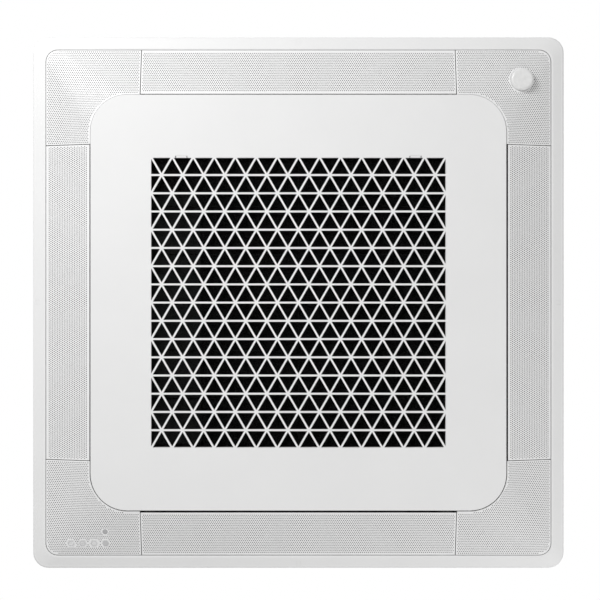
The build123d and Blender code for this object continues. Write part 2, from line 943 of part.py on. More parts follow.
def latch(side):
    """Slider with a finger tab in the grille's notch and a raised tongue at the grille's edge."""
    x = side * latch_spread / 2
    half = latch_width / 2
    tip = half - tongue_inset
    end = -well_inner + keeper_depth + keeper_gap
    top = slider_top + tongue_rise
    slider = block(x - half, x + half, end + riser_reach, -window_y, slider_low, slider_top)
    slider += block(x - tip, x + tip, end + riser_reach, end + tongue_reach, slider_low, top)
    slider += block(x - tip, x + tip, end, end + tongue_reach, top - tongue_thickness, top)
    tab = tab_width / 2
    return slider + block(x - tab, x + tab, -window_y - notch_depth + tab_gap, -window_y,
                          front + tab_recess, slider_top)


def latch_spring(side):
    """A bowed leaf spring between the latch's riser and the strap over its slider."""
    low = slider_top + fit_gap
    end = -well_inner + keeper_depth + keeper_gap + tongue_reach
    x = side * latch_spread / 2
    points = [(end, low + spring_foot), ((end + strap_y) / 2, low + spring_bow), (strap_y, low)]
    upper = [(y, z + spring_sheet) for y, z in reversed(points)]
    return yz_plate(points + upper, x - spring_width / 2, x + spring_width / 2)


def filter_frame():
    inner_x, inner_y = filter_x - filter_rim, filter_y - filter_rim
    rim = RectangleRounded(2 * filter_x, 2 * filter_y, filter_corner)
    rim -= RectangleRounded(2 * inner_x, 2 * inner_y, filter_corner / 3)
    frame = Pos(0, 0, filter_base) * extrude(rim, filter_height)
    half = filter_bar_width / 2
    low = filter_top - filter_bar_height
    for step in range(-(filter_bars // 2), filter_bars // 2 + 1):
        x = 2 * step * inner_x / (filter_bars + 1)
        y = 2 * step * inner_y / (filter_bars + 1)
        frame += block(x - half, x + half, -inner_y - 0.5, inner_y + 0.5, low, filter_top)
        frame += block(-inner_x - 0.5, inner_x + 0.5, y - half, y + half, low, filter_top)
    return frame


def filter_mesh():
    outline = RectangleRounded(2 * (filter_x - filter_rim), 2 * (filter_y - filter_rim), filter_corner / 3)
    return Pos(0, 0, filter_top - filter_bar_height - mesh_thickness) * extrude(outline, mesh_thickness)


# ---------------------------------------------------------------- casing
def flange_room(low, high):
    """The opening inside the flange round the casing's lower edge."""
    gusset_plane = (2 * (casing_half - flange_width) - gusset_cut) / sqrt(2)
    return octagon(casing_half - flange_width, gusset_plane, low, high)


def top_beads():
    """Raised beads and a ring on the casing's top."""
    top = base + body_height
    made = [rod(0, 0, top - sheet / 2, top + bead_rise, stamp_outer)
            - rod(0, 0, top - sheet, top + bead_rise + 1, stamp_inner)]
    for turn in range(8):
        outline = SlotOverall(bead_lengths[turn % 2], bead_width)
        bead = Pos(bead_place, 0, top - sheet / 2) * extrude(outline, sheet / 2 + bead_rise)
        made.append(Rot(0, 0, 45 * turn) * bead)
    return made


def side_pads(shrink, start, end):
    """The raised panel on each side but the piping side, between two distances from the centre."""
    outline = RectangleRounded(panel_bead_height - 2 * shrink, panel_bead_length - 2 * shrink,
                               panel_bead_corner - shrink)
    pad = Pos(start, 0, base + panel_bead_level) * Rot(0, 90, 0) * extrude(outline, end - start)
    return [Rot(0, 0, 90 * turn) * pad for turn in (1, 2, 3)]


def knockout_rings():
    """A round knock-out ring on each raised panel."""
    outline = Circle(knockout_radius) - Circle(knockout_radius - knockout_wall)
    place = Pos(casing_half + panel_bead_rise - 0.5, 0, base + panel_bead_level) * Rot(0, 90, 0)
    ring = place * extrude(outline, panel_bead_rise)
    return [Rot(0, 0, 90 * turn) * ring for turn in (1, 2, 3)]


def casing():
    shell = octagon(casing_half, casing_plane, base, base + body_height)
    shell -= octagon(inner_half, inner_plane, base + sheet, base + body_height - sheet)
    shell -= flange_room(base - 1, base + sheet + 1)
    pads = side_pads(0, casing_half - sheet / 2, casing_half + panel_bead_rise)
    for piece in top_beads() + pads + knockout_rings():
        shell += piece
    for cut in side_pads(sheet, inner_half - 1, inner_half + panel_bead_rise):
        shell -= cut
    shell -= block(inner_half - 1, casing_half + 1, *port_y, base + port_level[0], base + port_level[1])
    hole = rod(panel_screw_x, panel_screw_y, base - 1, base + sheet + 1, screw_radius + fit_gap)
    for cut in quarter_turns(hole):
        shell -= cut
    return shell


def hanger_bracket():
    """Bracket on the +X +Y corner face: a plate, an ear with its slot, and two side flanges."""
    slot_tangent = (hanger_x - hanger_y) / 2 / sqrt(2)
    start = slot_tangent - bracket_width / 2 - bracket_offset
    end = start + bracket_width
    first, last = start + ear_inset, end - ear_inset
    plate = block(casing_plane, casing_plane + ear_thickness, start, end, -bracket_drop, ear_thickness)
    ear = block(casing_plane, casing_plane + ear_reach, first, last, 0, ear_thickness)
    bracket = plate + fillet(ear.edges().filter_by(Axis.Z).sort_by(Axis.X)[-2:], ear_corner)
    profile = [(casing_plane, 0.5), (casing_plane + ear_reach - web_inset, 0.5),
               (casing_plane, -bracket_drop + ear_inset)]
    for y in (first, last - ear_thickness):
        side = make_face(Polyline(*[(x, y, z) for x, z in profile], close=True))
        bracket += extrude(side, ear_thickness, dir=(0, 1, 0))
    bracket = Rot(0, 0, 45) * mirror(bracket, Plane.XZ)
    slot = extrude(SlotOverall(slot_length, slot_width), 3 * ear_thickness)
    bracket -= Pos(hanger_x / 2, hanger_y / 2, -ear_thickness) * slot
    for z in bracket_screw_levels():
        hole = rod_x(casing_plane - 1, casing_plane + ear_thickness + 1, 0, z, small_screw + fit_gap)
        bracket -= Rot(0, 0, 45) * hole
    return bracket


def bracket_screw_levels():
    return (-bracket_drop + bracket_screw_inset, -ear_thickness - bracket_screw_inset)


def mirrored_corners(shape):
    """The same shape on all four corners."""
    pair = [shape, mirror(shape, Plane.YZ)]
    return pair + [mirror(one, Plane.XZ) for one in pair]


def hanger_brackets():
    return group(mirrored_corners(hanger_bracket()))


def casing_screws():
    """Hexagon-head screws: two on each bracket, and four under the bell mouth's deck."""
    head = extrude(RegularPolygon(small_head, 6), small_head_height)
    made = []
    for z in bracket_screw_levels():
        turned = Pos(casing_plane + ear_thickness, 0, z) * Rot(0, 90, 0) * head
        made.extend(mirrored_corners(Rot(0, 0, 45) * turned))
    place = bell_side / 2 - deck_screw_inset
    return group(made + mirrored_corners(Pos(place, place, base - small_head_height) * head))


def insulation_liner():
    """Foam on the inside of the walls and the top."""
    high = base + body_height - sheet - fit_gap
    outer = inner_half - fit_gap
    plane = inner_plane - fit_gap
    liner = octagon(outer, plane, pan_top, high)
    liner -= octagon(outer - liner_thickness, plane - liner_thickness, pan_top - 1, high - liner_thickness)
    liner -= rod(0, 0, high - liner_thickness - 1, high + 1, liner_hole)
    low, far = base + port_level[0] - port_room, base + port_level[1] + port_room
    return liner - block(casing_half - 2 * liner_thickness, casing_half,
                         port_y[0] - port_room, port_y[1] + port_room, low, far)


def drain_pan():
    pan = octagon(inner_half - fit_gap, inner_plane - fit_gap, base, pan_top)
    pan -= octagon(casing_half, casing_plane, base - 1, base + sheet) - flange_room(base - 2, base + sheet + 1)
    pan -= slab(pan_opening / 2, pan_corner, base - 1, pan_top + 1)
    pan -= slab(bell_side / 2 + fit_gap, bell_corner + fit_gap, base - 1, base + bell_plate)
    outlet = RectangleRounded(outlet_length, outlet_width, outlet_corner)
    slot = Pos(0, outlet_inner + outlet_width / 2, base - 1) * extrude(outlet, pan_height + 2)
    floor = base + channel_floor
    channel = slab(coil_half + channel_clear, coil_corner + channel_clear, floor, pan_top + 1)
    inside = coil_inner - channel_clear
    channel -= slab(inside, coil_corner - coil_depth - channel_clear, base, pan_top + 2)
    pan -= channel
    pan -= rod(pump_x, pump_y, base + basin_floor, pan_top + 1, basin_radius)
    pan -= rod(float_x, float_y, base + basin_floor, pan_top + 1, float_radius + float_room)
    half = pad_width / 2
    for y in (-pad_place, pad_place):
        pad = block(coil_inner + pad_inset, coil_half - pad_inset, y - half, y + half,
                    floor - 1, base + coil_base)
        for copy in quarter_turns(pad):
            pan += copy
    pan -= rod(plug_x, plug_y, base - 1, base + basin_floor + 1, plug_radius)
    hole = rod(panel_screw_x, panel_screw_y, base, base + pan_screw_depth, screw_radius + screw_room)
    for cut in quarter_turns(slot) + quarter_turns(hole):
        pan -= cut
    return pan


def drain_plug():
    plug = rod(plug_x, plug_y, base - plug_head, base, plug_radius + plug_head)
    return plug + rod(plug_x, plug_y, base, base + basin_floor + plug_rise, plug_radius)


# ---------------------------------------------------------------- heat exchanger
def coil_fins():
    """Pleated sheet that runs round the fan, open at the piping corner."""
    middle = coil_half - coil_depth / 2
    line = FilletPolyline((middle, coil_end_y), (middle, -middle), (-middle, -middle), (-middle, middle),
                          (coil_end_x, middle), radius=coil_corner - coil_depth / 2)
    count = round(line.length / fin_pitch)
    swing = (coil_depth - fin_tip) / 2
    near, far = [], []
    for step in range(count + 1):
        spot = line @ (step / count)
        along = line % (step / count)
        across = Vector(-along.Y, along.X)
        fold = swing if step % 2 else -swing
        near.append(spot + across * (fold - fin_tip / 2))
        far.append(spot + across * (fold + fin_tip / 2))
    outline = make_face(Polyline(*near, *reversed(far), close=True))
    return Pos(0, 0, base + coil_base) * extrude(outline, coil_height, dir=(0, 0, 1))


def coil_end_plates():
    """A sheet on each end of the coil, and the sheet that closes the corner between them."""
    low, high = base + coil_base, base + coil_base + coil_height
    near, far = coil_inner - plate_reach, coil_half + plate_reach
    first = block(near, far, coil_end_y, coil_end_y + end_plate, low, high)
    second = block(coil_end_x, coil_end_x + end_plate, near, far, low, high)
    outline = make_face(Polyline((near, coil_end_y), (near, coil_end_y + end_plate),
                                 (coil_end_x + end_plate, near), (coil_end_x, near), close=True))
    partition = Pos(0, 0, pan_top) * extrude(outline, high - pan_top)
    return group([first, second, partition])


def return_bend(level):
    """Half a turn of copper tube between two rows."""
    half = Pos(bend_radius, 0, 0) * Rot(90, 0, 0) * Circle(tube_radius)
    bend = revolve(half, Axis.Z, 180)
    middle = (coil_half + coil_inner) / 2
    return Pos(coil_end_x + end_plate, middle, base + coil_base + level) * Rot(0, 0, -90) * bend


def coil_return_bends():
    return group([return_bend(first_bend + bend_pitch * row) for row in range(bend_rows)])


def gas_pipe():
    """Header on the end plate, and the pipe that leaves from it."""
    x = (coil_half + coil_inner) / 2
    y = coil_end_y + end_plate + gas_radius
    level = base + gas_level
    end = casing_half + union_gap + flare_length / 2
    header = rod(x, y, base + header_levels[0], base + header_levels[1], gas_radius)
    elbow = Pos(x, y, level) * Rot(-90, 0, 0) * Cylinder(
        gas_radius, gas_y - y, align=(Align.CENTER, Align.CENTER, Align.MIN))
    pipe = rod_x(x, end, gas_y, level, gas_radius) + Pos(x, gas_y, level) * Sphere(gas_radius)
    return header + elbow + pipe - rod_x(end - pipe_bore_depth, end + 1, gas_y, level, gas_bore)


def liquid_pipe():
    """From the end plate up and out through the side."""
    x = coil_half - liquid_inset
    start = coil_end_y + end_plate
    low = base + liquid_start
    high = base + liquid_level
    end = casing_half + union_gap + flare_length / 2
    path = FilletPolyline((x, start, low), (x, liquid_y, low), (x, liquid_y, high), (end, liquid_y, high),
                          radius=liquid_bend)
    section = Plane(origin=(x, start, low), z_dir=(0, 1, 0)) * Circle(liquid_radius)
    return sweep(section, path=path) - rod_x(end - pipe_bore_depth, end + 1, liquid_y, high, liquid_bore)


def flare_unions():
    """Hexagon unions on the pipes' ends, each with the stub that the field pipe goes on."""
    start = casing_half + union_gap
    made = []
    for y, level, width, radius, bore in (
        (gas_y, gas_level, flare_gas, gas_radius, gas_bore),
        (liquid_y, liquid_level, flare_liquid, liquid_radius, liquid_bore),
    ):
        outline = RegularPolygon(width / sqrt(3), 6)
        union = Pos(start, y, base + level) * Rot(0, 90, 0) * extrude(outline, flare_length)
        union += rod_x(start + flare_length, casing_half + pipe_reach, y, base + level, radius)
        union -= rod_x(start - 1, start + flare_length / 2, y, base + level, radius)
        made.append(union - rod_x(start, casing_half + pipe_reach + 1, y, base + level, bore))
    return group(made)


def pipe_cover():
    """Plate over the opening in the casing's side."""
    end = casing_half + cover_sheet
    plate = block(casing_half, end, port_y[0] - cover_lap[0], port_y[1] + cover_lap[0],
                  base + port_level[0] - cover_lap[1], base + port_level[1] + cover_lap[1])
    for y, level, radius in (
        (gas_y, gas_level, gas_radius),
        (liquid_y, liquid_level, liquid_radius),
        (drain_y, drain_level, spigot_radius),
    ):
        plate -= rod_x(casing_half - 1, end + 1, y, base + level, radius + fit_gap)
    return plate


def drain_spigot():
    level = base + drain_level
    start = casing_half - spigot_inner
    end = casing_half + spigot_outer
    flange = casing_half + cover_sheet + fit_gap
    spigot = rod_x(start, end, drain_y, level, spigot_radius)
    spigot += rod_x(flange, casing_half + spigot_flange, drain_y, level, spigot_radius + spigot_flange)
    return spigot - rod_x(start + spigot_inner / 2, end + 1, drain_y, level, spigot_bore)


def drain_hose():
    """Riser from the pump's spout, over to the spigot."""
    low = pump_base + pump_height + spout_height
    high = base + drain_level
    path = FilletPolyline((spout_x, spout_y, low), (spout_x, spout_y, high), (spout_x, drain_y, high),
                          (casing_half - spigot_inner, drain_y, high), radius=hose_bend)
    return sweep(Plane(origin=(spout_x, spout_y, low)) * Circle(hose_radius), path=path)


def drain_pump():
    """Pump on three feet, with its motor, its spout and the arm that holds the float's stem."""
    top = pump_base + pump_height
    bowl = rod(pump_x, pump_y, pump_base, top, pump_radius)
    for turn in range(3):
        x, y = polar(pump_radius - foot_inset, 30 + 120 * turn)
        bowl += rod(pump_x + x, pump_y + y, base + basin_floor, pump_base + 1, foot_radius)
    bowl += rod(spout_x, spout_y, top - 1, top + spout_height, hose_radius - spout_step)
    bowl += rod(pump_x - pump_motor_x, pump_y + pump_motor_y, top - 1, top + pump_motor_height,
                pump_motor_radius)
    level = pump_base + arm_level
    arm = block(pump_x + pump_radius / 2, float_x, float_y - arm_half, float_y + arm_half,
                level, level + arm_sheet)
    return bowl + arm + rod(float_x, float_y, level, level + arm_sheet, arm_half)


def float_stem():
    low = pump_base + stem_foot
    stem = rod(float_x, float_y, low, pump_base + arm_level, stem_radius)
    return stem + rod(float_x, float_y, low - stem_foot, low, 2 * stem_radius)


def level_float():
    low = pump_base + stem_foot + fit_gap
    ring = rod(float_x, float_y, low, low + float_height, float_radius)
    return ring - rod(float_x, float_y, low - 1, low + float_height + 1, stem_radius + running_gap)


# ---------------------------------------------------------------- air path
def bell_deck():
    """Square plate round the bell mouth, in the drain pan's opening."""
    plate = slab(bell_side / 2, bell_corner, base, base + bell_plate)
    return plate - rod(0, 0, base - 1, base + bell_plate + 1, throat_radius + bell_radius)


def bell_mouth():
    """Rounded inlet that leads the air into the fan."""
    flare = throat_radius + bell_radius
    ring = Pos(flare, bell_radius) * (Circle(bell_radius) - Circle(bell_radius - bell_sheet))
    quarter = ring & Pos(throat_radius + bell_radius / 2, bell_radius / 2) * Rectangle(bell_radius, bell_radius)
    return Pos(0, 0, base) * revolve(Plane.XZ * quarter, Axis.Z)


def shroud_section(bend):
    """Everything under the shroud's curve, for a bend of the given radius."""
    centre_x = throat_radius + bell_sheet + fan_gap + shroud_bend
    centre_z = bell_radius
    turn = radians(shroud_turn)
    x = centre_x - bend * cos(turn)
    z = centre_z + bend * sin(turn)
    end_x = fan_radius + 1
    end_z = z + (end_x - x) * cos(turn) / sin(turn)
    under = Polyline((centre_x, centre_z), (end_x, centre_z), (end_x, end_z), (x, z), close=True)
    return Pos(centre_x, centre_z) * Circle(bend) + make_face(under)


def fan_shroud():
    lip = throat_radius + bell_sheet + fan_gap
    curve = shroud_section(shroud_bend) - shroud_section(shroud_bend - shroud_sheet)
    shroud = revolve(Plane.XZ * curve, Axis.Z) & rod(0, 0, bell_radius, fan_top, fan_radius)
    inlet = rod(0, 0, bell_radius - fan_overlap, bell_radius, lip + shroud_sheet)
    inlet -= rod(0, 0, bell_radius - fan_overlap - 1, bell_radius + 1, lip)
    return Pos(0, 0, base) * (shroud + inlet)


def fan_hub():
    """Hub plate, cone over the motor, disc and boss."""
    wall = hub_plate
    inset = cone_sheet_inset
    points = [
        (fan_shaft, boss_base), (boss_radius, boss_base), (boss_radius, hub_level), (cone_base, hub_level),
        (cone_top, fan_top - wall), (fan_radius, fan_top - wall), (fan_radius, fan_top),
        (cone_top - inset, fan_top), (cone_base - inset, hub_level + wall), (boss_radius, hub_level + wall),
        (boss_radius, boss_top), (fan_shaft, boss_top),
    ]
    section = make_face(Polyline(*points, close=True))
    return Pos(0, 0, base) * revolve(Plane.XZ * section, Axis.Z)


def polar(radius, angle):
    return (radius * cos(radians(angle)), radius * sin(radians(angle)))


def fan_blade():
    """One backward-curved blade, between the shroud and the hub plate."""
    outer = fan_radius - blade_tip_gap
    middle = (blade_inner + outer) / 2
    bow = blade_sweep * blade_bow
    step = degrees(blade_edge / blade_inner)
    belly = degrees(blade_belly / middle)
    a0, a1 = polar(blade_inner, 0), polar(outer, -blade_sweep)
    b0, b1 = polar(blade_inner, -step), polar(outer, -blade_sweep - step)
    front_side = ThreePointArc(a0, polar(middle, -bow), a1)
    back_side = ThreePointArc(b1, polar(middle, -bow - belly), b0)
    outline = make_face([front_side, Line(a1, b1), back_side, Line(b0, a0)])
    return extrude(outline, fan_top - hub_plate)


def blade_room():
    lip = throat_radius + bell_sheet + fan_gap
    high = fan_top - hub_plate
    points = [(blade_inner - 1, high), (blade_inner - 1, fan_top - blade_nose),
              (lip, bell_radius + blade_lead), (fan_radius, bell_radius), (fan_radius, high)]
    section = make_face(Polyline(*points, close=True)) - shroud_section(shroud_bend)
    return revolve(Plane.XZ * section, Axis.Z)


def fan_wheel():
    wheel = fan_hub()
    room = blade_room()
    for turn in range(blade_count):
        wheel += Pos(0, 0, base) * (Rot(0, 0, 360 * turn / blade_count) * fan_blade() & room)
    return wheel


def motor_shaft():
    return rod(0, 0, base + shaft_end, base + boss_top + motor_gap + shaft_depth, fan_shaft)


def fan_nut():
    outline = RegularPolygon(nut_width / sqrt(3), 6) - Circle(fan_shaft)
    return Pos(0, 0, base + boss_base - nut_height) * extrude(outline, nut_height)


def motor_ears():
    return [polar(motor_ear_circle, 90 + 120 * turn) for turn in range(3)]


def motor_ear_level():
    return base + boss_top + motor_gap + fan_motor_height - motor_ear_thickness


def fan_motor():
    low = base + boss_top + motor_gap
    can = rod(0, 0, low, low + fan_motor_height, fan_motor_radius)
    can = chamfer(can.faces().sort_by(Axis.Z)[0].edges(), fan_motor_chamfer)
    ear_low = motor_ear_level()
    ear_high = ear_low + motor_ear_thickness
    for x, y in motor_ears():
        angle = degrees(atan2(y, x))
        arm = block(0, motor_ear_circle, -motor_arm_half, motor_arm_half, ear_low, ear_high)
        can += Rot(0, 0, angle) * arm + rod(x, y, ear_low, ear_high, motor_ear_radius)
    for x, y in motor_ears():
        can -= rod(x, y, ear_low - 1, ear_high + 1, stud_radius + grommet_wall)
    return can - rod(0, 0, low - 1, low + shaft_depth + 2 * motor_gap, fan_shaft + running_gap)


def motor_grommets():
    low = motor_ear_level()
    high = low + motor_ear_thickness
    made = []
    for x, y in motor_ears():
        spool = rod(x, y, low, high, stud_radius + grommet_wall)
        spool += rod(x, y, low - grommet_flange, low, stud_radius + 2 * grommet_wall)
        spool += rod(x, y, high, high + grommet_flange, stud_radius + 2 * grommet_wall)
        made.append(spool - rod(x, y, low - grommet_flange - 1, high + grommet_flange + 1, stud_radius))
    return group(made)


def motor_bracket():
    """Plate under the casing's top with three studs that carry the motor."""
    top = base + body_height - sheet
    low = motor_ear_level() - grommet_flange
    high = motor_ear_level() + motor_ear_thickness + grommet_flange
    bracket = rod(0, 0, top - bracket_sheet, top, bracket_radius)
    bracket -= rod(0, 0, top - bracket_sheet - 1, top + 1, bracket_hole)
    for x, y in motor_ears():
        bracket += rod(x, y, low - stud_nut_height, top - 1, stud_radius)
        bracket += rod(x, y, high, top - 1, stud_radius + 2)
        bracket += Pos(x, y, low - stud_nut_height) * extrude(RegularPolygon(stud_nut, 6), stud_nut_height)
    return bracket


# ---------------------------------------------------------------- control box
def control_box():
    """Sheet tray under the bell mouth's deck, open downwards."""
    low = ceiling - box_drop
    tray = block(*box_x, *box_y, low, base)
    tray = fillet(tray.edges().filter_by(Axis.Z), box_corner)
    cut = block(box_x[0] + sheet, box_x[1] - sheet, box_y[0] + sheet, box_y[1] - sheet,
                low - 1, base - sheet)
    tray -= fillet(cut.edges().filter_by(Axis.Z), box_corner - sheet)
    for x in (box_x[0] + post_inset, box_x[1] - post_inset):
        for y in (box_y[0] + post_inset, box_y[1] - post_inset):
            tray += rod(x, y, base - sheet - board_drop, base - sheet, post_radius)
    return tray


def control_board():
    top = base - sheet - board_drop
    return block(box_x[0] + board_inset, box_x[1] - board_inset, box_y[0] + board_inset, box_y[1] - board_inset,
                 top - board_thickness, top)


def control_box_cover():
    low = ceiling - box_drop
    lid = block(box_x[0] - lid_lap, box_x[1] + lid_lap, box_y[0] - lid_lap, box_y[1] + lid_lap,
                low - sheet, low)
    return fillet(lid.edges().filter_by(Axis.Z), box_corner)


# ---------------------------------------------------------------- write the nodes
# Rot(0, 0, 90 * turn) carries the +Y side to the side named here.
sides = {"hinge_side": 0, "left": 1, "latch_side": 2, "right": 3}
nodes = {
    "panel_frame": panel_frame(),
    "panel_gasket": panel_gasket(),
    "return_well": return_well(),
    "corner_cover_right": corner_cover(0),
    "corner_cover_indicators": indicator_cover(),
    "corner_cover_left": corner_cover(2),
    "corner_cover_sensor": sensor_cover(),
    "indicator_icons": indicator_icons(),
    "receiver_window": receiver_window(),
    "indicator_board": indicator_board(),
    "sensor_dome": sensor_dome(),
    "intake_grille": intake_grille(),
    "hinge_arms": hinge_arms(),
    "hinge_pins": hinge_pins(),
    "latch_left": latch(-1),
    "latch_right": latch(1),
    "latch_spring_left": latch_spring(-1),
    "latch_spring_right": latch_spring(1),
    "filter_frame": filter_frame(),
    "filter_mesh": filter_mesh(),
    "louvre_bushes": group(quarter_turns(louvre_bush())),
    "casing": casing(),
    "hanger_brackets": hanger_brackets(),
    "screws": group([panel_screws(), casing_screws()]),
    "insulation_liner": insulation_liner(),
    "drain_pan": drain_pan(),
    "drain_plug": drain_plug(),
    "coil_fins": coil_fins(),
    "coil_end_plates": coil_end_plates(),
    "coil_return_bends": coil_return_bends(),
    "gas_pipe": gas_pipe(),
    "liquid_pipe": liquid_pipe(),
    "flare_unions": flare_unions(),
    "pipe_cover": pipe_cover(),
    "drain_spigot": drain_spigot(),
    "drain_hose": drain_hose(),
    "drain_pump": drain_pump(),
    "float_stem": float_stem(),
    "level_float": level_float(),
    "bell_deck": bell_deck(),
    "bell_mouth": bell_mouth(),
    "fan_shroud": fan_shroud(),
    "fan_wheel": fan_wheel(),
    "motor_shaft": motor_shaft(),
    "fan_nut": fan_nut(),
    "fan_motor": fan_motor(),
    "motor_grommets": motor_grommets(),
    "motor_bracket": motor_bracket(),
    "control_box": control_box(),
    "control_board": control_board(),
    "control_box_cover": control_box_cover(),
}
for side, turn in sides.items():
    nodes["louvre_skin_" + side] = Rot(0, 0, 90 * turn) * louvre_skin()
    nodes["louvre_carrier_" + side] = Rot(0, 0, 90 * turn) * louvre_carrier()
nodes["louvre_motors"] = group(quarter_turns(louvre_motor()))

os.makedirs("parts", exist_ok=True)
for name, shape in nodes.items():
    export_step(shape, "parts/" + name + ".step")
    print(name, len(shape.solids()), round(shape.volume), "valid" if shape.is_valid else "INVALID")
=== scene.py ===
import bpy
import json
import math
import numpy as np
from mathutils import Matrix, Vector
from mathutils.geometry import delaunay_2d_cdt


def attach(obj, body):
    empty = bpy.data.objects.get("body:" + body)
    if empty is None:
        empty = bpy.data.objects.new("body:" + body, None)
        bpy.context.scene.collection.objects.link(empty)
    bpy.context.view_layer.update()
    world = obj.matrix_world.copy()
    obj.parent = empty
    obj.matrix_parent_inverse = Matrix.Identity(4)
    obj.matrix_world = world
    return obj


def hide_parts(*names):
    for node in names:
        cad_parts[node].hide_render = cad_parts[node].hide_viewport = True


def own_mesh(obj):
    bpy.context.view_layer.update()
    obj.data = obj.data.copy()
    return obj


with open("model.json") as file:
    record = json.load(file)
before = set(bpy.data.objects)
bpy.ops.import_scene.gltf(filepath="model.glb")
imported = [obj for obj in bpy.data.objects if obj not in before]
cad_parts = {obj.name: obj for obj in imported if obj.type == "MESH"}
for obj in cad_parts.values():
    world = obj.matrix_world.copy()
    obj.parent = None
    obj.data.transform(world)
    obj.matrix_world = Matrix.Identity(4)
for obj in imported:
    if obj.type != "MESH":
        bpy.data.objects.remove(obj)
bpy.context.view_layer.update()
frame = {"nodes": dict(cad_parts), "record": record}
nodes = frame["nodes"]
MM = 0.001

# ---- sizes shared with the solids, in millimetres ----
CEILING = -110.0
FRONT = -147.0
FACE_STEP = 2.6
FACE_INNER = FRONT + FACE_STEP
FLANGE_EDGE = 8.3
FLANGE_FALL = 4.2
BORDER_FACE = CEILING - FLANGE_EDGE - FLANGE_FALL
OPENING_HALF = 451.5
GRILLE_HALF = 367.7
GRILLE_CORNER = 65.0
OPENING_CORNER = 22.0
SLOPE_START = 2.4
LOUVRE_INNER = GRILLE_HALF + SLOPE_START
OUTER_GAP = 1.0
LOUVRE_OUTER = OPENING_HALF - OUTER_GAP
LOUVRE_HALF = 279.4
SIDE_GAP = 1.2
COVER_EDGE = LOUVRE_HALF + SIDE_GAP
COVER_GAP = 0.5
COVER_GAP_LOW = 1.4
SKIN = 3.0
# The grille hangs a little off centre, so the gaps beside it differ.
LOUVRE_GAPS = {"hinge_side": 3.9, "left": 1.8, "latch_side": 1.5, "right": 3.1}
QUARTER_TURNS = {"hinge_side": 0, "left": 1, "latch_side": 2, "right": 3}
SLOPE = (BORDER_FACE - FACE_INNER) / (OPENING_HALF - LOUVRE_INNER)
CORNER_SLOPE = (GRILLE_CORNER + SLOPE_START - OPENING_CORNER) / (OPENING_HALF - LOUVRE_INNER)
DECK = -98.0
POCKET_TOP = -117.7
POCKET_SLOPE = 2.72
POCKET_WALL = 4.3

# ---- perforation ----
HOLE_PITCH = 3.63
HOLE_RADIUS = 0.97
HOLE_SIDES = 8
HOLE_DEPTH = 1.7
HOLE_MARGIN = 2.2
CUT_MARGIN = 1.2
EDGE_ROUND = 0.8
# inset and height of the rings round a skin's edge
EDGE_STEPS = ((0.42, 0.1), (0.12, 0.38), (0.0, EDGE_ROUND), (0.0, SKIN))


# ------------------------------------------------------------------ camera and light
SENSOR = 36.0
CAMERA_DISTANCE = 2.4
CAMERA_LEVEL = -0.118
CAMERA_PLACE = (0.0028, -0.0046)
PICTURE_SIZE = 600
METRES_A_PIXEL = 0.0017885
FLOOR_LEVEL = -2.75
FLOOR_HALF = 30.0


def aim(obj, target):
    way = Vector(target) - obj.location
    obj.rotation_euler = way.to_track_quat("-Z", "Y").to_euler()


def add_camera():
    """Straight up at the panel, a little off its centre as in the photograph."""
    data = bpy.data.cameras.new("camera")
    data.sensor_width = SENSOR
    data.lens = SENSOR * CAMERA_DISTANCE / (PICTURE_SIZE * METRES_A_PIXEL)
    camera = bpy.data.objects.new("camera", data)
    camera.location = (*CAMERA_PLACE, CAMERA_LEVEL - CAMERA_DISTANCE)
    camera.rotation_euler = (math.pi, 0, 0)
    bpy.context.scene.collection.objects.link(camera)
    bpy.context.scene.camera = camera


def add_lamp(name, place, target, power, size):
    data = bpy.data.lights.new(name, "AREA")
    data.energy = power
    data.size = size
    lamp = bpy.data.objects.new(name, data)
    lamp.location = place
    bpy.context.scene.collection.objects.link(lamp)
    aim(lamp, target)


def maths(tree, operation, *values):
    """A maths node. Each value is a socket or a number."""
    node = tree.nodes.new("ShaderNodeMath")
    node.operation = operation
    for place, value in enumerate(values):
        if isinstance(value, (int, float)):
            node.inputs[place].default_value = value
        else:
            tree.links.new(value, node.inputs[place])
    return node.outputs[0]


def white_to_camera(tree, shader, target):
    """The background shows white to the camera, in reflections and through glass."""
    light = tree.nodes.new("ShaderNodeLightPath")
    either = maths(tree, "MAXIMUM", light.outputs["Is Camera Ray"], light.outputs["Is Glossy Ray"])
    every = maths(tree, "MAXIMUM", either, light.outputs["Is Transmission Ray"])
    mix = tree.nodes.new("ShaderNodeMixShader")
    white = tree.nodes.new("ShaderNodeBackground")
    white.inputs["Color"].default_value = (1, 1, 1, 1)
    white.inputs["Strength"].default_value = 1.0
    tree.links.new(every, mix.inputs[0])
    tree.links.new(shader, mix.inputs[1])
    tree.links.new(white.outputs[0], mix.inputs[2])
    tree.links.new(mix.outputs[0], target)


def add_world(strength):
    world = bpy.data.worlds.new("studio")
    bpy.context.scene.world = world
    world.use_nodes = True
    tree = world.node_tree
    ambient = tree.nodes["Background"]
    ambient.inputs["Color"].default_value = (1, 1, 1, 1)
    ambient.inputs["Strength"].default_value = strength
    white_to_camera(tree, ambient.outputs[0], tree.nodes["World Output"].inputs["Surface"])


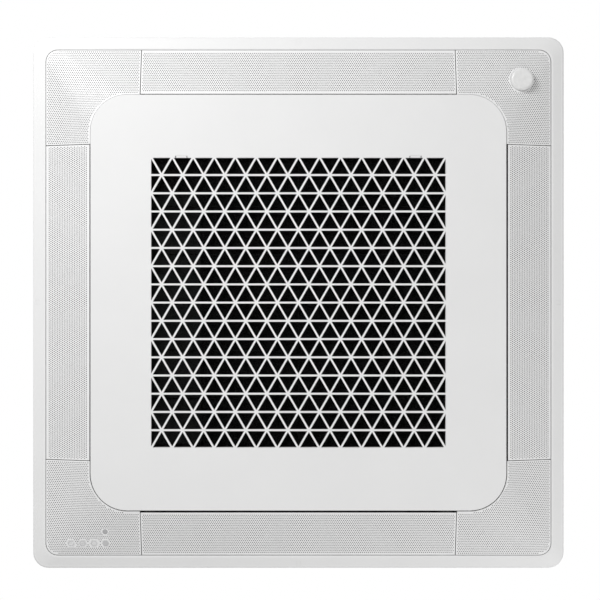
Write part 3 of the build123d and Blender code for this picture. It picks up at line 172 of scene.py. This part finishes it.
def add_floor():
    """The room's floor, well below the unit. It is see-through from underneath."""
    mesh = bpy.data.meshes.new("floor")
    corners = ((-1, -1), (1, -1), (1, 1), (-1, 1))
    mesh.from_pydata([(x * FLOOR_HALF, y * FLOOR_HALF, FLOOR_LEVEL) for x, y in corners], [], [(0, 1, 2, 3)])
    floor = bpy.data.objects.new("floor", mesh)
    bpy.context.scene.collection.objects.link(floor)
    material, shader = new_material("floor_paint", (0.84, 0.84, 0.83), 0.8)
    tree = material.node_tree
    mottle(tree, shader, (0.82, 0.82, 0.81), (0.86, 0.86, 0.85), 3.0)
    facing = tree.nodes.new("ShaderNodeNewGeometry")
    clear = tree.nodes.new("ShaderNodeBsdfTransparent")
    mix = tree.nodes.new("ShaderNodeMixShader")
    tree.links.new(facing.outputs["Backfacing"], mix.inputs[0])
    tree.links.new(shader.outputs[0], mix.inputs[1])
    tree.links.new(clear.outputs[0], mix.inputs[2])
    tree.links.new(mix.outputs[0], tree.nodes["Material Output"].inputs["Surface"])
    mesh.materials.append(material)


# ------------------------------------------------------------------ materials, in metres
FIN_PITCH = 0.0016
THREAD_PITCH = 0.001


def new_material(name, color, roughness, metallic=0.0):
    material = bpy.data.materials.new(name)
    material.use_nodes = True
    shader = material.node_tree.nodes["Principled BSDF"]
    shader.inputs["Base Color"].default_value = (*color, 1)
    shader.inputs["Roughness"].default_value = roughness
    shader.inputs["Metallic"].default_value = metallic
    return material, shader


def place_on(tree):
    """Coordinates in metres, fixed to the piece."""
    node = tree.nodes.new("ShaderNodeTexCoord")
    return node.outputs["Object"]


def noise(tree, scale, detail=3.0, stretch=None):
    node = tree.nodes.new("ShaderNodeTexNoise")
    node.inputs["Scale"].default_value = scale
    node.inputs["Detail"].default_value = detail
    source = place_on(tree)
    if stretch:
        mapping = tree.nodes.new("ShaderNodeMapping")
        mapping.inputs["Scale"].default_value = stretch
        tree.links.new(source, mapping.inputs["Vector"])
        source = mapping.outputs["Vector"]
    tree.links.new(source, node.inputs["Vector"])
    return node.outputs["Fac"]


def ramp(tree, value, low, high, start=0.35, end=0.65):
    """Carries a value from one colour to another."""
    node = tree.nodes.new("ShaderNodeValToRGB")
    node.color_ramp.elements[0].position = start
    node.color_ramp.elements[1].position = end
    node.color_ramp.elements[0].color = (*low, 1)
    node.color_ramp.elements[1].color = (*high, 1)
    tree.links.new(value, node.inputs["Fac"])
    return node.outputs["Color"]


def spread(tree, value, low, high):
    """Carries 0..1 to low..high."""
    node = tree.nodes.new("ShaderNodeMapRange")
    node.inputs["To Min"].default_value = low
    node.inputs["To Max"].default_value = high
    tree.links.new(value, node.inputs["Value"])
    return node.outputs["Result"]


def mottle(tree, shader, low, high, scale):
    """Slow colour variation."""
    tree.links.new(ramp(tree, noise(tree, scale), low, high), shader.inputs["Base Color"])


def bump(tree, shader, height, distance, strength=1.0):
    node = tree.nodes.new("ShaderNodeBump")
    node.inputs["Strength"].default_value = strength
    node.inputs["Distance"].default_value = distance
    tree.links.new(height, node.inputs["Height"])
    tree.links.new(node.outputs["Normal"], shader.inputs["Normal"])
    return node


def shade(color, factor):
    return tuple(part * factor for part in color)


def moulded(name, color, roughness, grain=1400.0, depth=0.00004, vary=0.02):
    """Moulded plastic: fine spark texture, slightly uneven gloss and tone."""
    material, shader = new_material(name, color, roughness)
    tree = material.node_tree
    mottle(tree, shader, shade(color, 1 - vary), shade(color, 1 + vary), 9.0)
    gloss = spread(tree, noise(tree, 60.0), roughness - 0.07, roughness + 0.07)
    tree.links.new(gloss, shader.inputs["Roughness"])
    bump(tree, shader, noise(tree, grain, 2.0), depth, 0.6)
    return material


def frame_plastic_with_painted_shade():
    """The panel's white plastic, with painted shade: dark grey inside the opening, where the ducts lie in
    shadow.
    """
    material = moulded("frame_plastic_with_painted_shade", (0.84, 0.84, 0.843), 0.42, vary=0.008)
    tree = material.node_tree
    shader = tree.nodes["Principled BSDF"]
    white = shader.inputs["Base Color"].links[0].from_socket
    split = tree.nodes.new("ShaderNodeSeparateXYZ")
    tree.links.new(place_on(tree), split.inputs[0])
    sides = [maths(tree, "ABSOLUTE", split.outputs[axis]) for axis in ("X", "Y")]
    middle = (OPENING_HALF - OPENING_CORNER) * MM
    over = [maths(tree, "MAXIMUM", maths(tree, "SUBTRACT", side, middle), 0.0) for side in sides]
    squares = [maths(tree, "MULTIPLY", value, value) for value in over]
    rounded = maths(tree, "ADD", *squares)
    within = maths(tree, "LESS_THAN", rounded, ((OPENING_CORNER - 0.3) * MM) ** 2)
    under = maths(tree, "LESS_THAN", split.outputs["Z"], (DECK - 1.5) * MM)
    far = maths(tree, "MAXIMUM", *sides)
    lean = maths(tree, "MULTIPLY_ADD", split.outputs["Z"], POCKET_SLOPE, far)
    pocket = (OPENING_HALF + POCKET_WALL + POCKET_SLOPE * POCKET_TOP) * MM
    sloped = maths(tree, "LESS_THAN", lean, pocket)
    within = maths(tree, "MULTIPLY", maths(tree, "MULTIPLY", within, under), sloped)
    mix = tree.nodes.new("ShaderNodeMix")
    mix.data_type = "RGBA"
    tree.links.new(within, mix.inputs["Factor"])
    tree.links.new(white, mix.inputs[6])
    # painted shade: dark grey inside the opening, for the shadow in the ducts
    tree.links.new(ramp(tree, noise(tree, 35.0), (0.05, 0.05, 0.052), (0.07, 0.07, 0.072)), mix.inputs[7])
    tree.links.new(mix.outputs[2], shader.inputs["Base Color"])
    return material


def sheet_metal(name, color, roughness, spangle=0.0, brushed=None, metallic=1.0):
    """Metal with spangle or brush lines."""
    material, shader = new_material(name, color, roughness, metallic)
    tree = material.node_tree
    if spangle:
        cells = tree.nodes.new("ShaderNodeTexVoronoi")
        cells.inputs["Scale"].default_value = spangle
        tree.links.new(place_on(tree), cells.inputs["Vector"])
        grey = tree.nodes.new("ShaderNodeRGBToBW")
        tree.links.new(cells.outputs["Color"], grey.inputs[0])
        tree.links.new(ramp(tree, grey.outputs[0], shade(color, 0.93), shade(color, 1.05), 0.1, 0.9),
                       shader.inputs["Base Color"])
        tree.links.new(spread(tree, grey.outputs[0], roughness - 0.04, roughness + 0.06),
                       shader.inputs["Roughness"])
        bump(tree, shader, noise(tree, 22.0, 2.0), 0.0006, 0.25)
    else:
        mottle(tree, shader, shade(color, 0.9), shade(color, 1.08), 40.0)
        tree.links.new(spread(tree, noise(tree, 250.0), roughness - 0.08, roughness + 0.1),
                       shader.inputs["Roughness"])
        bump(tree, shader, noise(tree, 700.0, 2.0, brushed), 0.00004, 0.5)
    return material


def bead_foam():
    """Expanded foam: pressed beads with fine seams between them."""
    material, shader = new_material("bead_foam", (0.86, 0.86, 0.85), 0.7)
    tree = material.node_tree
    cells = tree.nodes.new("ShaderNodeTexVoronoi")
    cells.feature = "DISTANCE_TO_EDGE"
    cells.inputs["Scale"].default_value = 260.0
    tree.links.new(place_on(tree), cells.inputs["Vector"])
    tree.links.new(ramp(tree, cells.outputs["Distance"], (0.66, 0.66, 0.65), (0.86, 0.86, 0.85), 0.0, 0.12),
                   shader.inputs["Base Color"])
    bump(tree, shader, cells.outputs["Distance"], 0.0006, 0.5)
    return material


def cell_foam():
    """Dark closed-cell gasket foam."""
    material, shader = new_material("cell_foam", (0.05, 0.05, 0.052), 0.95)
    tree = material.node_tree
    mottle(tree, shader, (0.035, 0.035, 0.037), (0.07, 0.07, 0.072), 400.0)
    bump(tree, shader, noise(tree, 900.0, 4.0), 0.0003, 0.8)
    return material


def fin_pack():
    """Thin aluminium fins, seen edge on, with the tube rows behind; the dark stripes between the fins are
    painted shade in the gaps.
    """
    material, shader = new_material("fin_pack", (0.74, 0.76, 0.78), 0.35, 0.9)
    tree = material.node_tree
    split = tree.nodes.new("ShaderNodeSeparateXYZ")
    tree.links.new(place_on(tree), split.inputs[0])
    along = maths(tree, "ADD", split.outputs["X"], split.outputs["Y"])
    wave = maths(tree, "PINGPONG", along, FIN_PITCH / 2)
    even = tree.nodes.new("ShaderNodeMapRange")
    even.inputs["From Max"].default_value = FIN_PITCH / 2
    tree.links.new(wave, even.inputs["Value"])
    # painted shade: the dark end of the ramp darkens the gaps between the fins
    tree.links.new(ramp(tree, even.outputs[0], (0.10, 0.11, 0.12), (0.78, 0.8, 0.82), 0.1, 0.7),
                   shader.inputs["Base Color"])
    bump(tree, shader, even.outputs[0], 0.0006, 0.8)
    return material


def copper_tube():
    """Drawn copper, dulled in patches."""
    material, shader = new_material("copper_tube", (0.72, 0.36, 0.2), 0.3, 1.0)
    tree = material.node_tree
    mottle(tree, shader, (0.42, 0.2, 0.12), (0.78, 0.42, 0.25), 30.0)
    tree.links.new(spread(tree, noise(tree, 45.0), 0.22, 0.5), shader.inputs["Roughness"])
    bump(tree, shader, noise(tree, 500.0, 2.0), 0.00005, 0.5)
    return material


def woven_mesh():
    """Fine black filter net."""
    material, shader = new_material("woven_mesh", (0.012, 0.012, 0.012), 0.8)
    tree = material.node_tree
    split = tree.nodes.new("ShaderNodeSeparateXYZ")
    tree.links.new(place_on(tree), split.inputs[0])
    threads = [maths(tree, "PINGPONG", split.outputs[axis], THREAD_PITCH / 2) for axis in ("X", "Y")]
    even = tree.nodes.new("ShaderNodeMapRange")
    even.inputs["From Max"].default_value = THREAD_PITCH / 2
    tree.links.new(maths(tree, "MAXIMUM", *threads), even.inputs["Value"])
    tree.links.new(ramp(tree, even.outputs[0], (0.001, 0.001, 0.001), (0.008, 0.008, 0.008), 0.5, 0.95),
                   shader.inputs["Base Color"])
    bump(tree, shader, even.outputs[0], 0.0003, 0.8)
    shader.inputs["Alpha"].default_value = 0.68
    shader.inputs["Specular IOR Level"].default_value = 0.05
    return material


def lens(name, color, roughness):
    """Clear-coated plastic with a faint moulding flow."""
    material, shader = new_material(name, color, roughness)
    tree = material.node_tree
    mottle(tree, shader, shade(color, 0.94), shade(color, 1.04), 120.0)
    bump(tree, shader, noise(tree, 300.0, 1.0), 0.00003, 0.4)
    shader.inputs["Coat Weight"].default_value = 0.4
    shader.inputs["Coat Roughness"].default_value = 0.12
    return material


def circuit():
    """Solder mask over tracks."""
    material, shader = new_material("circuit", (0.02, 0.16, 0.07), 0.4)
    tree = material.node_tree
    bricks = tree.nodes.new("ShaderNodeTexBrick")
    bricks.inputs["Scale"].default_value = 90.0
    bricks.inputs["Color1"].default_value = (0.02, 0.16, 0.07, 1)
    bricks.inputs["Color2"].default_value = (0.03, 0.2, 0.09, 1)
    bricks.inputs["Mortar"].default_value = (0.05, 0.3, 0.14, 1)
    bricks.inputs["Mortar Size"].default_value = 0.04
    tree.links.new(place_on(tree), bricks.inputs["Vector"])
    tree.links.new(bricks.outputs["Color"], shader.inputs["Base Color"])
    bump(tree, shader, bricks.outputs["Fac"], 0.0002, 0.4)
    return material


def make_materials():
    return {
        "white_plastic": moulded("panel_plastic", (0.84, 0.84, 0.843), 0.42, vary=0.008),
        "frame": frame_plastic_with_painted_shade(),
        "skin": moulded("skin_plastic", (0.88, 0.88, 0.885), 0.42, vary=0.008),
        "grey_plastic": moulded("grey_plastic", (0.33, 0.34, 0.35), 0.5),
        "latch_plastic": moulded("latch_plastic", (0.82, 0.82, 0.823), 0.45, vary=0.01),
        "black_plastic": moulded("black_plastic", (0.008, 0.008, 0.008), 0.6, vary=0.15),
        "black_mesh": woven_mesh(),
        "lens": lens("infrared_lens", (0.48, 0.48, 0.49), 0.3),
        "light_guide": lens("light_guide", (0.78, 0.79, 0.8), 0.35),
        "dome_plastic": lens("dome_plastic", (0.8, 0.8, 0.8), 0.3),
        "board": circuit(),
        "foam": cell_foam(),
        "white_foam": bead_foam(),
        "galvanised": sheet_metal("galvanised", (0.53, 0.545, 0.555), 0.52, spangle=160.0, metallic=0.65),
        "screw_steel": sheet_metal("zinc_screws", (0.6, 0.6, 0.58), 0.3),
        "spring_steel": sheet_metal("spring_steel", (0.5, 0.5, 0.5), 0.25, brushed=(1, 8, 1)),
        "aluminium_fins": fin_pack(),
        "copper": copper_tube(),
        "brass": sheet_metal("machined_brass", (0.68, 0.5, 0.22), 0.25, brushed=(8, 1, 1)),
        "rubber": moulded("rubber", (0.025, 0.025, 0.026), 0.8, vary=0.1),
        "hose": moulded("drain_rubber", (0.3, 0.31, 0.32), 0.7, vary=0.06),
        "fan_plastic": moulded("fan_plastic", (0.07, 0.072, 0.075), 0.45, vary=0.08),
        "motor_paint": moulded("motor_resin", (0.05, 0.05, 0.052), 0.6, vary=0.1),
        "motor_steel": sheet_metal("motor_steel", (0.62, 0.62, 0.6), 0.35),
    }


def dress_nodes(materials):
    """Each node takes the material of its slot in the record, except the panel frame and return well, which
    take the frame plastic.
    """
    for entry in frame["record"]["subparts"]:
        node = nodes[entry["node"]]
        node.data.materials.clear()
        kind = "frame" if entry["node"] in ("panel_frame", "return_well") else entry["material_slot"]
        node.data.materials.append(materials[kind])


# ------------------------------------------------------------------ perforated skins
def face_level(radius):
    return FACE_INNER + (radius - LOUVRE_INNER) * SLOPE


def face_corner(radius):
    return GRILLE_CORNER + SLOPE_START - (radius - LOUVRE_INNER) * CORNER_SLOPE


def face_height(points):
    """Height of the sloping face over points in X and Y, by search for the rounded square each lies on."""
    x, y = np.abs(points[:, 0]), np.abs(points[:, 1])
    low = np.full(len(points), LOUVRE_INNER - 20.0)
    high = np.full(len(points), OPENING_HALF + 20.0)
    for _ in range(40):
        middle = (low + high) / 2
        corner = face_corner(middle)
        over = np.hypot(np.maximum(x - middle + corner, 0), np.maximum(y - middle + corner, 0))
        in_corner = (x > middle - corner) & (y > middle - corner)
        outside = np.where(in_corner, over > corner, np.maximum(x, y) > middle)
        low = np.where(outside, middle, low)
        high = np.where(outside, high, middle)
    return face_level((low + high) / 2)


def inset(loop, depth):
    """A closed outline moved inwards; the outline runs anticlockwise."""
    before = np.roll(loop, 1, axis=0)
    after = np.roll(loop, -1, axis=0)
    first = loop - before
    second = after - loop
    first /= np.linalg.norm(first, axis=1)[:, None]
    second /= np.linalg.norm(second, axis=1)[:, None]
    normal_a = np.column_stack([-first[:, 1], first[:, 0]])
    normal_b = np.column_stack([-second[:, 1], second[:, 0]])
    middle = normal_a + normal_b
    middle /= (middle * normal_a).sum(axis=1)[:, None]
    return loop + middle * depth


def inside(loop, points):
    """Tells which points lie within a closed outline."""
    x, y = points[:, 0][:, None], points[:, 1][:, None]
    a, b = loop, np.roll(loop, -1, axis=0)
    crosses = (a[:, 1] > y) != (b[:, 1] > y)
    rise = np.where(b[:, 1] == a[:, 1], 1.0, b[:, 1] - a[:, 1])
    at = a[:, 0] + (y - a[:, 1]) / rise * (b[:, 0] - a[:, 0])
    return (crosses & (x < at)).sum(axis=1) % 2 == 1


def reach(loop, points):
    """Distance from each point to the nearest side of an outline."""
    a, b = loop, np.roll(loop, -1, axis=0)
    side = b - a
    along = ((points[:, None, :] - a) * side).sum(axis=2) / (side ** 2).sum(axis=1)
    foot = a + np.clip(along, 0, 1)[:, :, None] * side
    return np.linalg.norm(points[:, None, :] - foot, axis=2).min(axis=1)


def hole_centres(outline, cutouts):
    """Staggered rows along X, kept clear of every edge."""
    row = HOLE_PITCH * math.sqrt(3) / 2
    low, high = outline.min(axis=0), outline.max(axis=0)
    middle = (low + high) / 2
    rows = int((high[1] - low[1]) / row) // 2 + 1
    places = int((high[0] - low[0]) / HOLE_PITCH) // 2 + 1
    grid = [(middle[0] + (i + (j % 2) / 2) * HOLE_PITCH, middle[1] + j * row)
            for j in range(-rows, rows + 1) for i in range(-places, places + 1)]
    points = np.array(grid)
    keep = inside(outline, points) & (reach(outline, points) > HOLE_MARGIN + HOLE_RADIUS)
    for cut in cutouts:
        keep &= ~inside(cut, points) & (reach(cut, points) > CUT_MARGIN + HOLE_RADIUS)
    return points[keep]


def circle(x, y, radius, sides, start=0.0):
    turn = start + np.arange(sides) * 2 * math.pi / sides
    return np.column_stack([x + radius * np.cos(turn), y + radius * np.sin(turn)])


def flat_triangles(outer, loops):
    """Triangles of an outline less its holes, with corners numbered through outer and then loops."""
    points = np.vstack([outer] + loops) if loops else outer
    edges = []
    owner = []
    start = 0
    for number, loop in enumerate([outer] + loops):
        count = len(loop)
        edges.extend((start + i, start + (i + 1) % count) for i in range(count))
        owner.extend([number] * count)
        start += count
    made = delaunay_2d_cdt([Vector(p) for p in points], edges, [], 0, 1e-6)
    back = [origin[0] if origin else -1 for origin in made[3]]
    triangles = np.array([[back[i] for i in face] for face in made[2]])
    triangles = triangles[(triangles >= 0).all(axis=1)]
    owner = np.array(owner)[triangles]
    same = (owner[:, 0] == owner[:, 1]) & (owner[:, 1] == owner[:, 2]) & (owner[:, 0] > 0)
    centres = points[triangles].mean(axis=1)
    keep = ~same & inside(outer, centres)
    return triangles[keep]


def ring_faces(first, second, count):
    """Four-sided faces between two rings of corners."""
    i = np.arange(count)
    j = (i + 1) % count
    return np.column_stack([first + i, second + i, second + j, first + j])


def perforated_skin(outline, cutouts, deep_shade_at, painted_shade_sides=0):
    """A skin with rounded edges and blind micro-holes. Its face looks down.
    The floor of a hole is material 1, painted shade for the dark duct behind the skin, or material 2, deeper
    painted shade, where the given test says that a part lies close behind.
    The outline's first sides, as many as the given count, are material 2 too: painted shade on the walls
    facing the gap."""
    centres = hole_centres(outline, cutouts)
    holes = [circle(x, y, HOLE_RADIUS, HOLE_SIDES, math.pi / 8) for x, y in centres]
    face_loop = inset(outline, EDGE_ROUND)
    loops = [cut.copy() for cut in cutouts] + holes
    triangles = flat_triangles(face_loop, loops)
    flat = np.vstack([face_loop] + loops)
    parts = [np.column_stack([flat, face_height(flat)])]
    faces = [triangles]
    kinds = [np.zeros(len(triangles), int)]
    total = len(flat)

    def add_ring(points, lift):
        nonlocal total
        parts.append(np.column_stack([points, face_height(points) + lift]))
        total += len(points)
        return total - len(points)

    count = len(outline)
    rim = 0
    for step_in, lift in EDGE_STEPS:
        above = add_ring(inset(outline, step_in) if step_in else outline, lift)
        quads = ring_faces(above, rim, count)
        faces.append(quads)
        # painted shade: the walls of the first sides, facing the gap, get the dark material 2
        kinds.append(np.where((np.arange(count) < painted_shade_sides) & (lift > EDGE_ROUND), 2, 0))
        rim = above
    back_start = rim
    back_rings = []
    place = len(face_loop)
    for cut in cutouts:
        above = add_ring(cut, SKIN)
        faces.append(ring_faces(place, above, len(cut)))
        kinds.append(np.zeros(len(cut), int))
        back_rings.append((above, len(cut)))
        place += len(cut)
    lookup = np.concatenate([np.arange(back_start, back_start + count)] +
                            [np.arange(start, start + size) for start, size in back_rings])
    back = lookup[flat_triangles(outline, [cut.copy() for cut in cutouts])]
    faces.append(back[:, ::-1])
    kinds.append(np.zeros(len(back), int))

    all_holes = np.vstack(holes)
    floor_start = add_ring(all_holes, HOLE_DEPTH)
    for number in range(HOLE_SIDES):
        following = (number + 1) % HOLE_SIDES
        base = np.arange(len(holes)) * HOLE_SIDES
        quads = np.column_stack([place + base + number, floor_start + base + number,
                                 floor_start + base + following, place + base + following])
        faces.append(quads)
        kinds.append(np.zeros(len(holes), int))
    floors = floor_start + np.arange(len(holes))[:, None] * HOLE_SIDES + np.arange(HOLE_SIDES)
    faces.append(floors)
    # painted shade: hole floors dark for the shadowed duct behind, darker still near the arms
    kinds.append(np.where(deep_shade_at(centres), 2, 1))

    points = np.vstack(parts)
    listed = [face.tolist() for block in faces for face in block]
    return points, listed, np.concatenate(kinds)


def rounded_square_corner(half, corner, steps):
    """The quarter of a rounded square's outline round its +X +Y corner, from +X towards +Y."""
    turn = np.linspace(0, math.pi / 2, steps)
    centre = half - corner
    return np.column_stack([centre + corner * np.cos(turn), centre + corner * np.sin(turn)])


def louvre_outline(gap):
    """The +Y louvre, anticlockwise, with a gap to the grille."""
    low = GRILLE_HALF + gap
    corners = [(-LOUVRE_HALF, low), (LOUVRE_HALF, low),
               (LOUVRE_HALF, LOUVRE_OUTER), (-LOUVRE_HALF, LOUVRE_OUTER)]
    return np.array(corners, float)


def cover_outline(gap):
    """The +X +Y corner cover, anticlockwise, with a gap to the grille."""
    outer = rounded_square_corner(LOUVRE_OUTER, OPENING_CORNER - 1.0, 12)
    inner = rounded_square_corner(GRILLE_HALF + gap, GRILLE_CORNER + gap, 28)[::-1]
    low = GRILLE_HALF + gap
    start = [(low, COVER_EDGE), (LOUVRE_OUTER, COVER_EDGE)]
    end = [(COVER_EDGE, LOUVRE_OUTER), (COVER_EDGE, low)]
    return np.vstack([start, outer, end, inner])


def to_object(name, points, faces, kinds, materials, node, body):
    mesh = bpy.data.meshes.new(name)
    mesh.from_pydata((points * MM).tolist(), [], faces)
    mesh.polygons.foreach_set("material_index", kinds.astype(np.int32))
    mesh.polygons.foreach_set("use_smooth", np.ones(len(faces), bool))
    for material in materials:
        mesh.materials.append(material)
    mesh.validate()
    mesh.set_sharp_from_angle(angle=math.radians(35))
    mesh.update()
    obj = bpy.data.objects.new(name, mesh)
    bpy.context.scene.collection.objects.link(obj)
    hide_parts(node)
    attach(obj, body)
    return obj


def turned(points, quarter):
    """The same points, a number of quarter turns about the vertical axis."""
    cosine, sine = [(1, 0), (0, 1), (-1, 0), (0, -1)][quarter]
    x, y = points[:, 0], points[:, 1]
    return np.column_stack([x * cosine - y * sine, x * sine + y * cosine, points[:, 2]])


def mirrored(points, faces, sign_x, sign_y):
    flipped = points * np.array([sign_x, sign_y, 1.0])
    if sign_x * sign_y < 0:
        faces = [face[::-1] for face in faces]
    return flipped, faces


def hole_material(name, color):
    material, shader = new_material(name, color, 0.8)
    mottle(material.node_tree, shader, shade(color, 0.8), shade(color, 1.2), 200.0)
    return material


ARM_PLACES = (-258.4, -118.0, 0.0, 118.0, 258.4)
ARM_HALF = 9.0
ARM_REACH = 34.0


def near_arm(centres):
    """Holes in front of a louvre's arms, near the inner edge, whose floors get deeper painted shade."""
    near = np.zeros(len(centres), bool)
    for x in ARM_PLACES:
        near |= (np.abs(centres[:, 0] - x) < ARM_HALF) & (centres[:, 1] < LOUVRE_INNER + ARM_REACH)
    return near


def nowhere(centres):
    return np.zeros(len(centres), bool)


def add_louvres(skins):
    for side, gap in LOUVRE_GAPS.items():
        # the 1 paints shade on the wall of the inner edge, facing the grille gap
        points, faces, kinds = perforated_skin(louvre_outline(gap), [], near_arm, 1)
        to_object("louvre_face_" + side, turned(points, QUARTER_TURNS[side]), faces, kinds, skins,
                  "louvre_skin_" + side, "louvre_" + side)


ICON_PLACES = (-404.8, -384.3, -363.8, -343.3)
ICON_Y = 429.0
ICON_RADIUS = 7.25
ICON_GAP = 0.15
RIM_WIDTH = 0.9
RIM_HEIGHT = 0.25
PRINT_HEIGHT = 0.05
RECEIVER = (-343.4, 407.2, 4.5)
DOME = (396.8, -396.0, 20.25)
DOME_GAP = 0.3


def add_corner_covers(skins):
    """Plain covers at right and left, one with the indicators, and one with the sensor dome."""
    for name, sign_x, sign_y, gap in (("right", 1, 1, COVER_GAP_LOW), ("left", -1, -1, COVER_GAP)):
        blank = perforated_skin(cover_outline(gap), [], nowhere)
        points, faces = mirrored(blank[0], blank[1], sign_x, sign_y)
        to_object("corner_face_" + name, points, faces, blank[2], skins, "corner_cover_" + name, "root")
    icons = [circle(-x, ICON_Y, ICON_RADIUS + ICON_GAP, 6) for x in ICON_PLACES]
    receiver = circle(-RECEIVER[0], RECEIVER[1], RECEIVER[2] + ICON_GAP, 32)
    marked = perforated_skin(cover_outline(COVER_GAP_LOW), icons + [receiver], nowhere)
    points, faces = mirrored(marked[0], marked[1], -1, 1)
    to_object("corner_face_indicators", points, faces, marked[2], skins, "corner_cover_indicators", "root")
    dome = circle(DOME[0], -DOME[1], DOME[2] + DOME_GAP, 64)
    holed = perforated_skin(cover_outline(COVER_GAP), [dome], nowhere)
    points, faces = mirrored(holed[0], holed[1], 1, -1)
    to_object("corner_face_sensor", points, faces, holed[2], skins, "corner_cover_sensor", "root")


# ------------------------------------------------------------------ indicator signs
def plate_mesh(name, loops, height, material, lift):
    """A thin plate on the indicator corner's face, from an outline and the outlines of its holes."""
    triangles = flat_triangles(loops[0], loops[1:])
    flat = np.vstack(loops)
    level = face_height(flat) - lift
    low = np.column_stack([flat, level - height])
    high = np.column_stack([flat, level])
    count = len(flat)
    faces = triangles.tolist() + (triangles[:, ::-1] + count).tolist()
    start = 0
    for loop in loops:
        for place in range(len(loop)):
            here = start + place
            following = start + (place + 1) % len(loop)
            faces.append([here, here + count, following + count, following])
        start += len(loop)
    mesh = bpy.data.meshes.new(name)
    mesh.from_pydata((np.vstack([low, high]) * MM).tolist(), [], faces)
    mesh.materials.append(material)
    obj = bpy.data.objects.new(name, mesh)
    bpy.context.scene.collection.objects.link(obj)
    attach(obj, "root")


def arc_band(x, y, inner, outer, start, end, steps):
    """A band along part of a circle, in degrees."""
    turn = np.radians(np.linspace(start, end, steps))
    far = np.column_stack([x + outer * np.cos(turn), y + outer * np.sin(turn)])
    near = np.column_stack([x + inner * np.cos(turn), y + inner * np.sin(turn)])
    return np.vstack([far, near[::-1]])


def bar(x, y, half_x, half_y):
    return np.array([(x - half_x, y - half_y), (x + half_x, y - half_y),
                     (x + half_x, y + half_y), (x - half_x, y + half_y)])


def add_signs(rim, ground, mark, shut):
    """A bright rim and a sign on each indicator; the last one is plain."""
    for number, x in enumerate(ICON_PLACES):
        edge = circle(x, ICON_Y, ICON_RADIUS, 6)
        bed = circle(x, ICON_Y, ICON_RADIUS - RIM_WIDTH, 6)
        plate_mesh("indicator_rim_%d" % number, [edge, bed], RIM_HEIGHT, rim, 0.0)
        plate_mesh("indicator_bed_%d" % number, [bed], PRINT_HEIGHT, shut if number == 3 else ground, 0.0)
    power, clock, bowl = ICON_PLACES[:3]
    signs = [[arc_band(power, ICON_Y, 1.9, 2.9, -60, 240, 28)], [bar(power, ICON_Y - 2.3, 0.5, 1.5)],
             [circle(clock, ICON_Y, 3.0, 28), circle(clock, ICON_Y, 2.2, 28)],
             [bar(clock, ICON_Y - 0.7, 0.35, 1.1)], [bar(clock + 0.6, ICON_Y + 0.2, 0.95, 0.35)],
             [circle(bowl, ICON_Y, 3.1, 28), circle(bowl, ICON_Y, 2.3, 28)],
             [bar(bowl, ICON_Y + 0.9, 1.5, 0.4)], [bar(bowl, ICON_Y - 0.5, 0.9, 0.4)]]
    for number, loops in enumerate(signs):
        plate_mesh("indicator_sign_%d" % number, loops, PRINT_HEIGHT, mark, PRINT_HEIGHT)


def add_leaf_springs(material):
    """The latches' leaf springs, copied into meshes of their own and carried by the grille; the real springs
    shorten as the latches slide, which nothing here does.
    """
    for side in ("left", "right"):
        node = nodes["latch_spring_" + side]
        mesh = node.data.copy()
        mesh.materials.clear()
        mesh.materials.append(material)
        spring = bpy.data.objects.new("leaf_spring_" + side, mesh)
        spring.matrix_world = node.matrix_world.copy()
        bpy.context.scene.collection.objects.link(spring)
        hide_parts("latch_spring_" + side)
        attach(spring, "grille")
        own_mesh(spring)


# ------------------------------------------------------------------ the scene
bpy.context.scene.view_settings.view_transform = "Standard"
add_camera()
add_world(0.44)
add_floor()
add_lamp("key", (-1.16, -1.42, -1.81), (0, 0, -0.12), 36.2, 0.8)
add_lamp("fill", (1.15, 1.5, -1.0), (0, 0, -0.12), 9.0, 0.8)
add_lamp("top", (-1.6, -2.2, 2.6), (0, 0, 0.05), 24.0, 3.2)
add_lamp("back", (2.4, 1.8, 1.8), (0, 0, 0.05), 17.0, 3.0)

made = make_materials()
dress_nodes(made)
# painted shade: the hole floors stand for the dark duct behind the skin; the second, darker one is deeper
# shade near the arms and on walls facing the gap
skins = [made["skin"], hole_material("hole_floor_painted_shade", (0.07, 0.07, 0.07)),
         hole_material("painted_deep_shade_floor", (0.012, 0.012, 0.012))]
add_louvres(skins)
add_corner_covers(skins)
add_signs(lens("sign_rim", (0.92, 0.92, 0.92), 0.3), lens("sign_bed", (0.66, 0.66, 0.67), 0.35),
          lens("sign_mark", (0.9, 0.9, 0.9), 0.35), lens("sign_shut", (0.58, 0.58, 0.59), 0.35))
add_leaf_springs(made["spring_steel"])
